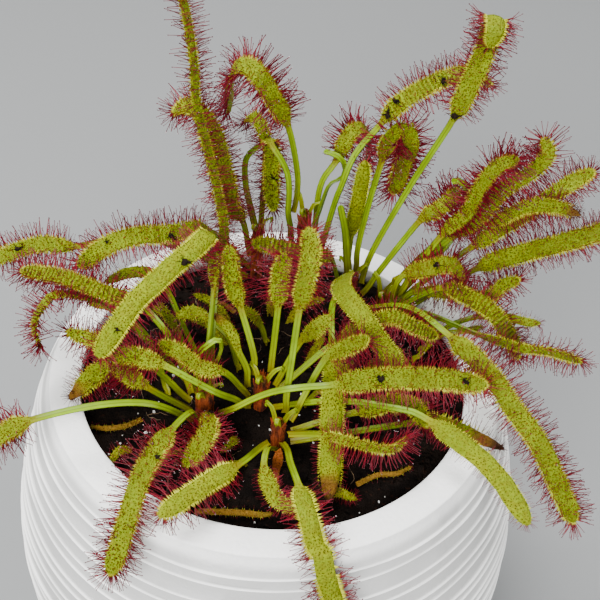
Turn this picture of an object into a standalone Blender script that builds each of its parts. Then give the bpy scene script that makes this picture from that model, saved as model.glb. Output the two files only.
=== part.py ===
"""Potted sundew: a strap-leaved sundew with several crowns in a ribbed ceramic pot.

The origin is the middle of the pot's foot. The leaf routes are in millimetres, measured from
the middle of the pot's rim, with X to the right, Y to the back and Z up.
"""

import math
import random

import bmesh
import bpy
import numpy as np
from mathutils import Matrix, Vector
from mathutils.bvhtree import BVHTree
from mathutils.kdtree import KDTree

MM = 0.001
SEED = 11
SHARP_ANGLE = math.radians(50)

# Pot, in mm: its outer wall swells from the rim to the belly and draws in to the foot
POT_HEIGHT = 110.0
POT_SIDES = 32
RIM_OUTER = 58.9
BELLY_RADIUS = 69.6
BELLY_DEPTH = 54.0
FOOT_RADIUS = 43.0
SWELL = 1.8
DRAW_IN = 2.2
RIM_INNER = 50.5
RIM_CROWN = 0.8
LIP_END = 58.5
LIP_DEPTH = 3.0
WALL = 6.0
INNER_DEPTHS = (10.0, 24.0, 40.0, 60.0, 80.0)
FLOOR = 7.0
RIDGE_TOP = 5.0
RIDGE_END = 84.0
RIDGE_PITCH = 4.1
RIDGE_RHYTHM = (1.15, 0.75, 1.3, 0.8)
RIDGE_HALF = 0.7
RIDGE_HEIGHT = 0.6
LOWER_STEP = 8.0
LOWER_RINGS = 3
FOOT_BEVEL = 2.0

# Soil, in mm
SOIL_DEPTH = 4.5
SOIL_MOUND = 1.5
SOIL_RINGS = (0.7, 0.35)
SOIL_HOLE = 12.0
GAP = 0.3

# Crowns: place of the stem's axis, height above the rim, stem radius, in mm
CROWNS = {
    "front": (2, -22, 7, 1.9),
    "left": (-17, -15, 8, 2.5),
    "right": (20, 32, 9, 2.1),
    "side": (29, 27, 7, 1.9),
    "middle": (-3, -9, 8, 2.2),
    "back": (6, 40, 24, 2.0),
    "rear": (-7, 43, 15, 1.8),
}
STEM_SIDES = 8
STEM_TAPER = 0.9
LOWEST_LEAF = 1.5
HIGHEST_LEAF = 1.0
SEAT_GAP = 0.45

# Leaves, in mm
ROUTE_STEPS = 12
LEAST_POINTS = 6
PETIOLE_WIDTH = 1.7
PETIOLE_THICK = 1.1
BUD_TIP = 0.6
BUD_FLATNESS = 0.7
FACING = np.array((0.0, -0.6, 0.8))
FACING_SHARE = 0.45
LEAST_SIDE = 0.25
BLADE_THICK = 0.8
PETIOLE_RING = 10.0
BLADE_RING = 7.0
LEAST_RING = 1.9
RING_TURN = math.radians(16)
MARK_ROOM = 2.2
TIP_SHARE = 0.35
TIP_BLUNT = 0.12
TAPER_IN = 5.0
TAPER_OUT = 6.0
FRINGE_STEP = 4.3
FRINGE_LENGTH = 4.6
FRINGE_RADIUS = 0.32
FRINGE_ROOT = 0.9
FRINGE_MARGIN = 2.0
FRINGE_LEAN = (-0.1, 0.5)
FRINGE_LIFT = (0.1, 0.7)
FRINGE_SPREAD = (0.85, 1.12)
TIP_FAN = (-50, 0, 50)
TIP_LIFT = 0.2
CLEAR = 0.35
NEEDLE_ROOM = 0.75
TENTACLE_ROOM = 0.95
PROBES = 8
PROBE_START = 0.25
CLOSE_CURLS = ("leaf_right_02", "leaf_right_09")

# Each leaf: crown, width, number of the route point where the blade starts, roll about its
# own length in degrees, kind, and the points that its midrib runs through. A grown leaf has a
# fringe of tentacles and is a piece of its own; a bare bud is part of its crown.
LEAVES = (
    ("left", 3.2, 2, 50, "grown", (-16, -6, 14), (-16, 7, 25), (-15, 16, 34), (-17, 21, 43),
     (-20, 25, 53), (-23, 28, 64), (-24, 32, 74), (-26, 37, 82), (-28, 41, 88)),
    ("rear", 4.0, 1, 0, "grown", (-11, 38, 20), (-14, 34, 28), (-15, 32, 37), (-17, 33, 45),
     (-19, 34, 52), (-23, 36, 57), (-27, 38, 57), (-30, 39, 54)),
    ("rear", 2.0, 1, 0, "bud", (-9, 43, 20), (-11, 45, 28), (-11, 46, 36), (-7, 47, 40)),
    ("back", 5.0, 2, 0, "grown", (3, 40, 36), (0, 41, 50), (-4, 41, 58), (-8, 41, 65),
     (-12, 43, 67), (-15, 45, 64), (-16, 47, 58), (-16, 50, 48)),
    ("rear", 3.2, 2, 0, "grown", (-6, 48, 26), (-6, 50, 36), (-7, 51, 42), (-10, 53, 45),
     (-12, 54, 42)),
    ("back", 4.0, 2, 0, "grown", (1, 40, 34), (-4, 42, 43), (-5, 45, 43), (-4, 46, 38),
     (-4, 46, 30), (-3, 45, 19)),
    ("back", 4.2, 2, 0, "grown", (10, 42, 32), (13, 42, 39), (15, 44, 44), (17, 47, 46),
     (20, 50, 45), (22, 50, 41), (22, 51, 34)),
    ("back", 4.4, 2, 0, "grown", (16, 40, 38), (24, 42, 52), (28, 43, 58), (35, 46, 62),
     (45, 52, 63), (53, 54, 59)),
    ("right", 4.8, 3, 0, "grown", (25, 34, 15), (33, 36, 37), (41, 34, 60), (44, 36, 69),
     (47, 39, 78), (48, 41, 84), (48, 39, 87), (48, 36, 85), (47, 35, 81)),
    ("back", 2.0, 2, 0, "bud", (11, 41, 30), (15, 40, 35), (16, 41, 38), (14, 42, 41),
     (10, 44, 41)),
    ("right", 5.4, 3, 0, "grown", (21, 35, 15), (22, 36, 25), (25, 39, 42), (27, 41, 50),
     (30, 42, 51), (32, 42, 46), (31, 43, 38), (30, 43, 29)),
    ("right", 4.0, 1, 0, "grown", (19, 37, 17), (20, 38, 27), (21, 41, 41)),
    ("right", 2.4, 1, 0, "bud", (18, 32, 16), (17, 33, 23), (15, 34, 31)),
    ("side", 2.4, 1, 0, "bud", (49, 35, 26), (49, 36, 31), (49, 36, 35), (48, 36, 38),
     (46, 36, 40), (44, 37, 39)),
    ("right", 4.0, 1, 0, "grown", (36, 31, 29), (40, 31, 33), (44, 33, 36), (47, 39, 35)),
    ("side", 3.8, 1, 0, "grown", (42, 28, 27), (48, 29, 35), (50, 29, 43), (54, 31, 49),
     (60, 35, 49)),
    ("side", 3.8, 1, 0, "grown", (46, 33, 23), (54, 35, 31), (58, 37, 37), (65, 39, 42),
     (69, 41, 47), (67, 44, 50)),
    ("side", 3.6, 2, 20, "grown", (42, 35, 18), (56, 37, 25), (67, 40, 30), (75, 40, 30),
     (82, 43, 26)),
    ("side", 4.2, 1, 0, "grown", (52, 36, 17), (69, 42, 28), (76, 45, 33), (85, 50, 36)),
    ("side", 5.0, 1, 0, "grown", (54, 33, 12), (66, 35, 17), (77, 38, 19), (89, 43, 20),
     (96, 48, 19)),
    ("side", 4.6, 1, 0, "grown", (33, 25, 15), (41, 25, 19), (46, 25, 20), (50, 25, 15)),
    ("side", 3.4, 1, 0, "grown", (38, 26, 9), (56, 23, 11), (61, 26, 13), (66, 28, 14)),
    ("side", 4.4, 1, 0, "grown", (43, 21, 15), (51, 19, 14), (58, 16, 11), (63, 13, 6),
     (66, 11, 0)),
    ("side", 3.0, 2, 60, "grown", (38, 19, 8), (53, 7, 12), (65, 3, 12), (73, 4, 10), (81, 4, 7)),
    ("right", 5.0, 2, 0, "grown", (34, 14, 14), (44, 1, 17), (54, -9, 14), (60, -15, 9),
     (67, -21, 3), (73, -26, -6), (79, -31, -16)),
    ("middle", 4.8, 3, 0, "grown", (14, -18, 10), (32, -22, 13), (38, -25, 13), (48, -33, 12),
     (55, -39, 9), (62, -47, 3)),
    ("front", 4.0, 1, 0, "grown", (36, -18, 4), (43, -18, 4), (50, -22, 5), (58, -25, 4)),
    ("left", 5.0, 2, 0, "grown", (1, -20, 15), (14, -20, 18), (25, -18, 19), (38, -16, 18),
     (53, -14, 15)),
    ("right", 5.2, 1, 0, "grown", (18, 25, 14), (16, 11, 22), (20, 4, 21), (25, -1, 17),
     (32, -7, 12)),
    ("front", 4.2, 1, 0, "grown", (20, -21, 10), (30, -17, 10), (35, -17, 9), (39, -20, 5)),
    ("right", 5.6, 3, 0, "grown", (17, 19, 14), (14, 7, 19), (14, -7, 19), (15, -16, 16),
     (15, -23, 9), (15, -32, 4), (15, -41, 0)),
    ("middle", 4.0, 1, 0, "grown", (0, -5, 28), (0, -3, 36), (1, -2, 44)),
    ("front", 4.2, 3, 0, "grown", (3, -21, 10), (4, -18, 22), (5, -14, 36), (6, -12, 43),
     (7, -8, 48), (6, -2, 52)),
    ("middle", 3.8, 2, 0, "grown", (-5, -7, 12), (-9, -2, 24), (-12, 1, 32), (-13, 3, 41)),
    ("middle", 2.6, 2, 0, "grown", (-6, -9, 9), (-9, -8, 15), (-11, -6, 20), (-14, -4, 22),
     (-17, -1, 22)),
    ("right", 4.0, 1, 0, "grown", (14, 24, 20), (11, 22, 23), (4, 20, 26), (-3, 19, 28),
     (-8, 20, 28)),
    ("middle", 3.6, 1, 0, "grown", (16, -2, 16), (28, 4, 19), (34, 4, 17), (42, 5, 12)),
    ("middle", 3.8, 1, 0, "grown", (6, -8, 20), (9, -7, 23), (13, -3, 25)),
    ("front", 3.8, 1, 0, "grown", (12, -14, 20), (16, -12, 22), (23, -9, 24)),
    ("front", 2.4, 1, 40, "grown", (12, -28, 9), (18, -31, 11), (25, -33, 11), (30, -32, 10),
     (33, -28, 10)),
    ("front", 4.6, 1, 0, "grown", (7, -44, 10), (10, -53, 8), (12, -57, 3), (15, -60, -4),
     (18, -63, -13), (20, -66, -22)),
    ("front", 4.4, 1, 0, "grown", (-7, -38, 8), (-14, -45, 9), (-24, -55, 9)),
    ("front", 4.0, 1, 0, "grown", (0, -30, 5), (-1, -36, 5), (2, -44, 4), (7, -48, 4)),
    ("left", 4.4, 1, 0, "grown", (-16, -20, 6), (-15, -27, 7), (-17, -33, 7), (-20, -38, 6)),
    ("left", 4.4, 2, 0, "grown", (-19, -22, 8), (-23, -31, 12), (-28, -43, 12), (-30, -49, 9),
     (-32, -55, 3), (-35, -60, -8)),
    ("left", 4.4, 3, 0, "grown", (-29, -25, 13), (-41, -29, 16), (-56, -32, 13), (-64, -33, 8),
     (-71, -35, 3), (-77, -38, -3)),
    ("middle", 4.0, 2, 0, "grown", (-14, -19, 12), (-26, -18, 19), (-31, -17, 20), (-35, -15, 19),
     (-40, -13, 16)),
    ("left", 4.6, 1, 0, "grown", (-30, -20, 13), (-36, -17, 15), (-40, -12, 13), (-45, -13, 9),
     (-51, -17, 4)),
    ("left", 5.0, 1, 0, "grown", (-16, -2, 30), (-17, 7, 40), (-21, 1, 41), (-28, -5, 37),
     (-34, -9, 32), (-39, -14, 26), (-43, -17, 20)),
    ("rear", 3.8, 2, 0, "grown", (-34, 20, 27), (-52, 14, 28), (-62, 14, 28), (-72, 13, 24),
     (-76, 14, 21)),
    ("rear", 4.6, 1, 0, "grown", (-19, 28, 24), (-29, 20, 29), (-37, 16, 31), (-45, 14, 29),
     (-52, 11, 24)),
    ("left", 3.6, 2, 0, "grown", (-26, -9, 19), (-34, -4, 26), (-42, -3, 28), (-51, 0, 29),
     (-58, 4, 27), (-66, 8, 24)),
    ("left", 3.4, 2, 50, "grown", (-29, -10, 16), (-43, -3, 24), (-54, -2, 26), (-58, -5, 24),
     (-60, -8, 20), (-58, -11, 16)),
    ("left", 3.4, 1, 0, "grown", (-33, -12, 15), (-44, -10, 18), (-52, -8, 19)),
    ("middle", 3.4, 1, 0, "grown", (-12, -14, 14), (-18, -15, 16), (-23, -13, 19), (-29, -9, 18)),
    ("left", 2.0, 1, 0, "bud", (-15, -14, 14), (-13, -11, 19), (-14, -10, 22), (-16, -11, 21),
     (-19, -11, 17), (-21, -12, 13)),
)

# Each seedling, a young leaf that rises from the soil: width, number of the route point where
# its blade starts, roll, and the points that its midrib runs through, the first in the soil.
SEEDLINGS = (
    (2.6, 2, 0, (39, 15, -6), (46, 17, 4), (54, 17, 9), (61, 15, 11), (66, 14, 11), (71, 16, 9)),
    (2.4, 2, 0, (37, 11, -6), (44, 13, 5), (50, 13, 7), (56, 16, 7)),
    (3.4, 2, 0, (-20, 4, -6), (-25, 8, 8), (-29, 12, 16), (-33, 14, 20), (-39, 13, 21),
     (-45, 11, 19)),
    (3.2, 2, 0, (-27, -7, -6), (-31, -2, 8), (-36, 1, 14), (-42, 4, 17), (-49, 7, 15)),
    (3.8, 2, 0, (-9, 3, -6), (-12, 5, 6), (-17, 6, 12), (-22, 7, 14), (-27, 6, 12)),
    (2.4, 1, 0, (-22, 6, -6), (-25, 6, 6), (-28, 6, 13), (-31, 8, 16)),
    (3.0, 1, 0, (19, 19, -6), (19, 15, 4), (20, 8, 8), (23, 4, 6)),
    (3.2, 1, 0, (-21, -25, -6), (-24, -29, 0), (-27, -34, 2), (-29, -40, 1)),
    (3.2, 1, 0, (-5, -28, -6), (-8, -31, 0), (-11, -36, 2), (-13, -42, 1)),
    (3.4, 1, 0, (27, 16, -6), (30, 11, 2), (34, 4, 3), (38, -3, 1)),
    (3.0, 1, 0, (8, -8, -6), (11, -8, 2), (16, -9, 5), (21, -11, 5)),
    (2.4, 1, 0, (2, -33, -6), (2, -32, -2), (2, -30, 1), (2, -28, 3)),
    (2.6, 1, 0, (-2, 14, -6), (-4, 13, 4), (-7, 12, 10), (-11, 11, 13)),
    (2.6, 1, 0, (24, 6, -6), (25, 3, 3), (28, -2, 8), (32, -6, 9)),
)

# How leaves that cross are bent clear of each other, in mm
BEND_SPACING = 2.0
BEND_SWEEPS = 200
BEND_REACH = 4.0
LEAST_DISTANCE = 0.1
HELD_BASE = 3.0
SEAT_SWEEPS = 80
SEAT_SINK = 0.4
PETIOLE_SPARE = 0.25
BLADE_SHARE = 0.33
BLADE_SPARE = 0.5
REST_GAP = 0.5
WALL_GAP = 1.0
RIM_REACH = 2.0
STEM_SPARE = 1.2
LEAF_PUSH = 1.5
POT_PUSH = 0.5
EYE_DIRECTION = np.array((0.0, 0.69, -0.72))
EYE_SHARE = 0.6

COLOURS = {
    "pot": ((0.80, 0.79, 0.76), 0.55),
    "soil": ((0.035, 0.024, 0.018), 0.95),
    "crown": ((0.25, 0.10, 0.04), 0.70),
    "leaf": ((0.42, 0.52, 0.06), 0.50),
}


def clear_scene():
    for old in list(bpy.data.objects):
        bpy.data.objects.remove(old, do_unlink=True)


def material(kind):
    """The Principled material of one kind of piece."""
    found = bpy.data.materials.get(kind)
    if found:
        return found
    made = bpy.data.materials.new(kind)
    made.use_nodes = True
    shader = made.node_tree.nodes["Principled BSDF"]
    colour, roughness = COLOURS[kind]
    shader.inputs["Base Color"].default_value = (*colour, 1.0)
    shader.inputs["Roughness"].default_value = roughness
    made.diffuse_color = (*colour, 1.0)
    return made


def add_object(name, bm, kind):
    """A bmesh as an object of the scene, shaded smooth where it is round."""
    mesh = bpy.data.meshes.new(name)
    bm.to_mesh(mesh)
    bm.free()
    mesh.materials.append(material(kind))
    mesh.shade_smooth()
    mesh.set_sharp_from_angle(angle=SHARP_ANGLE)
    made = bpy.data.objects.new(name, mesh)
    bpy.context.scene.collection.objects.link(made)
    return made


def from_rim(x, y, z):
    """A point given in mm from the rim's middle, in metres from the foot's middle."""
    return Vector((x, y, z + POT_HEIGHT)) * MM


def wall_radius(depth):
    """Radius of the pot's outer wall, between its ridges, at a depth below the rim."""
    if depth < BELLY_DEPTH:
        share = ((BELLY_DEPTH - depth) / BELLY_DEPTH) ** SWELL
        return BELLY_RADIUS - (BELLY_RADIUS - RIM_OUTER) * share
    share = ((depth - BELLY_DEPTH) / (POT_HEIGHT - BELLY_DEPTH)) ** DRAW_IN
    return BELLY_RADIUS - (BELLY_RADIUS - FOOT_RADIUS) * share


def turned(profile, sides):
    """A closed solid turned from a profile of radius and height, both ends on the axis."""
    bm = bmesh.new()
    line = [bm.verts.new(from_rim(radius, 0, height)) for radius, height in profile]
    edges = [bm.edges.new(pair) for pair in zip(line, line[1:])]
    bmesh.ops.spin(bm, geom=line + edges, cent=(0, 0, 0), axis=(0, 0, 1), dvec=(0, 0, 0),
                   angle=math.tau, steps=sides, use_merge=True)
    bmesh.ops.remove_doubles(bm, verts=bm.verts, dist=1e-6)
    bmesh.ops.recalc_face_normals(bm, faces=bm.faces)
    return bm


def ridge_depths():
    """Depths of the ridges below the rim, unevenly spaced as on a hand-ribbed wall."""
    depths = []
    depth = RIDGE_TOP
    while depth < RIDGE_END:
        depths.append(depth)
        depth += RIDGE_PITCH * RIDGE_RHYTHM[len(depths) % len(RIDGE_RHYTHM)]
    return depths


def pot_profile():
    """Outer wall with its ridges, domed lip, inner wall and floor, as radius and height."""
    foot = POT_HEIGHT - FOOT_BEVEL
    outside = [(0, -POT_HEIGHT), (FOOT_RADIUS - FOOT_BEVEL, -POT_HEIGHT)]
    lower = [foot - LOWER_STEP * k for k in range(LOWER_RINGS)]
    outside += [(wall_radius(depth), -depth) for depth in lower]
    ridges = []
    for depth in ridge_depths():
        ridges.append((wall_radius(depth - RIDGE_HALF), RIDGE_HALF - depth))
        ridges.append((wall_radius(depth) + RIDGE_HEIGHT, -depth))
        ridges.append((wall_radius(depth + RIDGE_HALF), -RIDGE_HALF - depth))
    lip = [(LIP_END, 0.0), ((RIM_INNER + LIP_END) / 2, RIM_CROWN), (RIM_INNER, 0.0)]
    inside = [(radius, -depth) for radius, depth in inner_curve()]
    return outside + ridges[::-1] + lip + inside + [(0, FLOOR - POT_HEIGHT)]


def inner_curve():
    """The pot's inner wall from below the lip to the floor, as radius and depth."""
    floor = POT_HEIGHT - FLOOR
    wall = [(wall_radius(depth) - WALL, depth) for depth in (*INNER_DEPTHS, floor)]
    return [(RIM_INNER, LIP_DEPTH)] + wall


def build_pot():
    add_object("pot", turned(pot_profile(), POT_SIDES), "pot")


def soil_height(x, y):
    """Height of the soil's face over the rim, lightly mounded in the middle."""
    share = min(1.0, math.hypot(x, y) / RIM_INNER)
    return -SOIL_DEPTH + SOIL_MOUND * (1 - share * share)


def stem_hole(x, y, radius):
    """A plain round hole for a crown's stem."""
    bm = bmesh.new()
    bottom = soil_height(x, y) - SOIL_HOLE
    place = Matrix.Translation(from_rim(x, y, bottom + SOIL_HOLE))
    bmesh.ops.create_cone(bm, cap_ends=True, segments=STEM_SIDES, radius1=(radius + GAP) * MM,
                          radius2=(radius + GAP) * MM, depth=2 * SOIL_HOLE * MM, matrix=place)
    return bm


def build_soil():
    """Soil that fills the pot, less a plain hole for each stem."""
    radii = [RIM_INNER - GAP] + [RIM_INNER * share for share in SOIL_RINGS]
    top = [(radius, soil_height(radius, 0)) for radius in radii]
    side = [(radius - GAP, -depth) for radius, depth in inner_curve() if depth > SOIL_DEPTH]
    side[-1] = (side[-1][0], GAP + FLOOR - POT_HEIGHT)
    profile = [(0, GAP + FLOOR - POT_HEIGHT)] + side[::-1] + top + [(0, soil_height(0, 0))]
    soil = add_object("soil", turned(profile, POT_SIDES), "soil")
    for name, (x, y, _, radius) in CROWNS.items():
        cutter = add_object("hole_" + name, stem_hole(x, y, radius), "soil")
        combine(soil, cutter, "DIFFERENCE")
    return soil


def combine(target, operand, operation, solver="EXACT"):
    """One Boolean with an object or a collection, applied, and the operand's objects removed."""
    step = target.modifiers.new(operation.lower(), "BOOLEAN")
    step.operation = operation
    step.solver = solver
    if isinstance(operand, bpy.types.Collection):
        step.operand_type = "COLLECTION"
        step.collection = operand
        extra = list(operand.objects)
    else:
        step.object = operand
        extra = [operand]
    graph = bpy.context.evaluated_depsgraph_get()
    mesh = bpy.data.meshes.new_from_object(target.evaluated_get(graph))
    target.modifiers.clear()
    old = target.data
    target.data = mesh
    bpy.data.meshes.remove(old)
    for piece in extra:
        bpy.data.objects.remove(piece, do_unlink=True)
    if isinstance(operand, bpy.types.Collection):
        bpy.data.collections.remove(operand)


def keep_main_body(target):
    """Drop what a union left loose or sealed inside: all but the body with the most points."""
    bm = bmesh.new()
    bm.from_mesh(target.data)
    unseen = set(bm.verts)
    bodies = []
    while unseen:
        body = {unseen.pop()}
        edge_of_body = list(body)
        while edge_of_body:
            vert = edge_of_body.pop()
            for edge in vert.link_edges:
                after = edge.other_vert(vert)
                if after in unseen:
                    unseen.remove(after)
                    body.add(after)
                    edge_of_body.append(after)
        bodies.append(body)
    bodies.sort(key=len)
    spare = [vert for body in bodies[:-1] for vert in body]
    bmesh.ops.delete(bm, geom=spare, context="VERTS")
    bm.to_mesh(target.data)
    bm.free()


def smooth_route(points, spacing):
    """Points every spacing mm or so on the smooth curve through a route's points, and the
    length along it at which each of the route's points lies."""
    route = np.array(points, float)
    ends = (2 * route[0] - route[1], 2 * route[-1] - route[-2])
    padded = np.vstack((ends[0], route, ends[1]))
    share = np.linspace(0, 1, ROUTE_STEPS, endpoint=False)[:, None]
    pieces = []
    for a, b, c, d in zip(padded, padded[1:], padded[2:], padded[3:]):
        cubic = (2 * b, c - a, 2 * a - 5 * b + 4 * c - d, 3 * b - a - 3 * c + d)
        pieces.append(0.5 * sum(term * share ** k for k, term in enumerate(cubic)))
    line = np.vstack(pieces + [route[-1:]])
    steps = np.linalg.norm(np.diff(line, axis=0), axis=1)
    along = np.concatenate(((0.0,), np.cumsum(steps)))
    count = max(LEAST_POINTS, round(along[-1] / spacing) + 1)
    even = np.linspace(0, along[-1], count)
    spread = np.stack([np.interp(even, along, line[:, k]) for k in range(3)], axis=1)
    return spread, even, along[::ROUTE_STEPS]


def rise_of(leaf):
    """How steeply a leaf leaves its crown, in radians."""
    x, y, top, _ = CROWNS[leaf["crown"]]
    first = np.array(leaf["route"][0], float) - (x, y, top * 0.5)
    return math.atan2(first[2], math.hypot(first[0], first[1]))


def seat_leaves(leaves):
    """Give each leaf its seat on its crown: the steepest highest, and none on another."""
    for name, (x, y, top, radius) in CROWNS.items():
        ring = sorted((leaf for leaf in leaves if leaf["crown"] == name), key=rise_of)
        low = soil_height(x, y) + LOWEST_LEAF
        levels = np.linspace(low, top - HIGHEST_LEAF, max(2, len(ring)))
        turns = [math.atan2(leaf["route"][0][1] - y, leaf["route"][0][0] - x) for leaf in ring]
        reach = radius + SEAT_GAP + PETIOLE_WIDTH / 2
        for _ in range(SEAT_SWEEPS):
            for i, j in ((i, j) for i in range(len(ring)) for j in range(i)):
                apart = (turns[i] - turns[j] + math.pi) % math.tau - math.pi
                rise = levels[i] - levels[j]
                need = PETIOLE_WIDTH + 2 * SEAT_GAP
                short = math.sqrt(max(0.0, need * need - rise * rise)) / reach - abs(apart)
                if short > 0:
                    turns[i] += math.copysign(short / 2, apart)
                    turns[j] -= math.copysign(short / 2, apart)
        for leaf, turn, level in zip(ring, turns, levels):
            own = reach if leaf["kind"] == "grown" else radius * SEAT_SINK
            leaf["seat"] = (x + own * math.cos(turn), y + own * math.sin(turn), level)


def leaf_list():
    """Every leaf with its name, its seat on its crown and its smooth midrib."""
    counts = dict.fromkeys(CROWNS, 0)
    leaves = []
    for crown, width, blade, roll, kind, *route in LEAVES:
        counts[crown] += 1
        name = f"leaf_{crown}_{counts[crown]:02d}"
        leaves.append({"name": name, "crown": crown, "width": width, "blade": blade,
                       "roll": math.radians(roll), "kind": kind, "route": route})
    seat_leaves(leaves)
    for number, (width, blade, roll, foot, *route) in enumerate(SEEDLINGS, 1):
        leaves.append({"name": f"seedling_{number:02d}", "crown": None, "width": width,
                       "blade": blade, "roll": math.radians(roll), "kind": "seedling",
                       "route": route, "seat": foot})
    for leaf in leaves:
        points = [leaf["seat"]] + leaf["route"]
        leaf["line"], leaf["along"], knots = smooth_route(points, BEND_SPACING)
        leaf["start"] = knots[leaf["blade"]]
    bend_clear(leaves)
    return leaves


def half_girth(leaf):
    """The half-width that a leaf needs for itself at each point of its midrib."""
    narrow = np.full(len(leaf["line"]), PETIOLE_WIDTH / 2 + PETIOLE_SPARE)
    narrow[leaf["along"] > leaf["start"]] = BLADE_SHARE * leaf["width"] + BLADE_SPARE
    return narrow


def push_off_pot(points, girth):
    """What lifts points off the soil and the rim and keeps them outside the pot's wall."""
    push = np.zeros_like(points)
    for k, ((x, y, z), own) in enumerate(zip(points, girth)):
        radius = math.hypot(x, y)
        if radius < RIM_INNER - RIM_REACH:
            push[k, 2] = max(0.0, soil_height(x, y) + own + REST_GAP - z)
        elif radius < LIP_END + RIM_REACH and z > -SOIL_DEPTH:
            push[k, 2] = max(0.0, RIM_CROWN + own + REST_GAP - z)
        else:
            wall = wall_radius(max(0.0, -z)) + RIDGE_HEIGHT
            short = wall + own + WALL_GAP - radius if z < RIM_REACH else 0.0
            push[k, :2] = np.array((x, y)) / radius * max(0.0, short)
    return push


def push_off_stems(points, girth, leaf):
    """What keeps a leaf's points clear of the crowns' stems, apart from the one it is part of."""
    push = np.zeros_like(points)
    for name, (x, y, top, radius) in CROWNS.items():
        away = points[:, :2] - (x, y)
        distance = np.linalg.norm(away, axis=1)
        room = girth + CLEAR
        if name == leaf["crown"] and leaf["kind"] != "grown":
            continue
        if name == leaf["crown"]:
            room = np.where(leaf["along"] < HELD_BASE, PETIOLE_WIDTH / 2 + SEAT_GAP, room)
        short = radius + room - distance
        short[(points[:, 2] > top + STEM_SPARE) | (short < 0)] = 0
        push[:, :2] += away / np.maximum(distance, LEAST_DISTANCE)[:, None] * short[:, None]
    return push


def crowded_pairs(points, owner, girth):
    """Pairs of points on different leaves that lie closer than their leaves need."""
    tree = KDTree(len(points))
    for k, point in enumerate(points):
        tree.insert(point, k)
    tree.balance()
    widest = girth.max()
    pairs = [(k, other) for k, point in enumerate(points)
             for _, other, _ in tree.find_range(point, girth[k] + widest + CLEAR)
             if owner[other] != owner[k]]
    first, second = np.array(pairs).T
    distance = np.linalg.norm(points[first] - points[second], axis=1)
    short = girth[first] + girth[second] + CLEAR - distance
    tight = short > 0
    return first[tight], second[tight], short[tight]


def bend_clear(leaves):
    """Bend crossing leaves apart, mostly along the line of sight, until each has its room."""
    owner = np.concatenate([np.full(len(leaf["line"]), k) for k, leaf in enumerate(leaves)])
    girth = np.concatenate([half_girth(leaf) for leaf in leaves])
    in_front = np.zeros((len(leaves), len(leaves)))
    for _ in range(BEND_SWEEPS):
        points = np.vstack([leaf["line"] for leaf in leaves])
        first, second, short = crowded_pairs(points, owner, girth)
        apart = points[first] - points[second]
        depth = np.zeros_like(in_front)
        np.add.at(depth, (owner[first], owner[second]), apart @ EYE_DIRECTION)
        in_front = np.where(in_front == 0, np.sign(depth), in_front)
        sight = in_front[owner[first], owner[second]][:, None] * EYE_DIRECTION
        apart /= np.maximum(np.linalg.norm(apart, axis=1), LEAST_DISTANCE)[:, None]
        push = np.zeros_like(points)
        away = (1 - EYE_SHARE) * apart + EYE_SHARE * sight
        np.add.at(push, first, away * short[:, None] / 2)
        for k, leaf in enumerate(leaves):
            own = owner == k
            along = leaf["along"]
            total = push[own] + push_off_stems(points[own], girth[own], leaf)
            near = np.exp(-((along[:, None] - along[None, :]) / BEND_REACH) ** 2)
            spread = near @ total / near.sum(axis=1, keepdims=True) * LEAF_PUSH
            spread += push_off_pot(points[own], girth[own]) * POT_PUSH
            leaf["line"] = points[own] + spread * np.clip(along / HELD_BASE, 0, 1)[:, None]


def ring_lengths(leaf):
    """Lengths along a leaf where its solid has a ring: closer where it turns."""
    line, along = leaf["line"], leaf["along"]
    ways = np.diff(line, axis=0)
    ways /= np.linalg.norm(ways, axis=1)[:, None]
    rings = [0.0]
    turned_by = 0.0
    for k in range(1, len(ways)):
        turned_by += math.acos(min(1.0, float(ways[k] @ ways[k - 1])))
        far = along[k] - rings[-1]
        most = PETIOLE_RING if along[k] < leaf["start"] else BLADE_RING
        if far > LEAST_RING and (turned_by > RING_TURN or far > most):
            rings.append(along[k])
            turned_by = 0.0
    end = along[-1]
    marks = [leaf["start"], leaf["start"] + TAPER_IN, end - TAPER_OUT, end - TAPER_OUT * TIP_SHARE]
    for mark in marks:
        rings = [ring for ring in rings if ring == 0.0 or abs(ring - mark) > MARK_ROOM]
    return sorted(rings + marks + [end])


def girth_at(leaf, length):
    """Width and thickness of a leaf at a length along it."""
    if leaf["kind"] == "bud":
        width = leaf["width"] * np.interp(length, (0, leaf["along"][-1]), (1.0, BUD_TIP))
        return width, width * BUD_FLATNESS
    open_share = np.clip((length - leaf["start"]) / TAPER_IN, 0, 1)
    left = leaf["along"][-1] - length
    close_share = math.sqrt(max(TIP_BLUNT, 1 - max(0.0, 1 - left / TAPER_OUT) ** 2))
    width = PETIOLE_WIDTH + (leaf["width"] - PETIOLE_WIDTH) * open_share
    thick = PETIOLE_THICK + (BLADE_THICK - PETIOLE_THICK) * open_share
    return width * (close_share if left < TAPER_OUT else 1.0), thick


def frames(leaf):
    """At each point of the midrib: its place, its way, its sideways and its upper side."""
    line, along = leaf["line"], leaf["along"]
    ways = np.gradient(line, axis=0)
    ways /= np.linalg.norm(ways, axis=1)[:, None]
    middle = leaf["start"] + FACING_SHARE * (along[-1] - leaf["start"])
    middle = int(np.searchsorted(along, middle))
    side = np.cross(FACING, ways[middle])
    if np.linalg.norm(side) < LEAST_SIDE:
        side = np.array((-1.0, 0.0, 0.0))
    sides = np.zeros_like(line)
    for order in (range(middle, len(line)), range(middle, -1, -1)):
        carried = side
        for k in order:
            carried = carried - (carried @ ways[k]) * ways[k]
            carried /= np.linalg.norm(carried)
            sides[k] = carried
    uppers = np.cross(ways, sides)
    cos, sin = math.cos(leaf["roll"]), math.sin(leaf["roll"])
    return line, ways, sides * cos + uppers * sin, uppers * cos - sides * sin


def at_length(leaf, rows, length):
    """One row of values, read at a length along the leaf."""
    return np.array([np.interp(length, leaf["along"], rows[:, k]) for k in range(3)])


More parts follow.
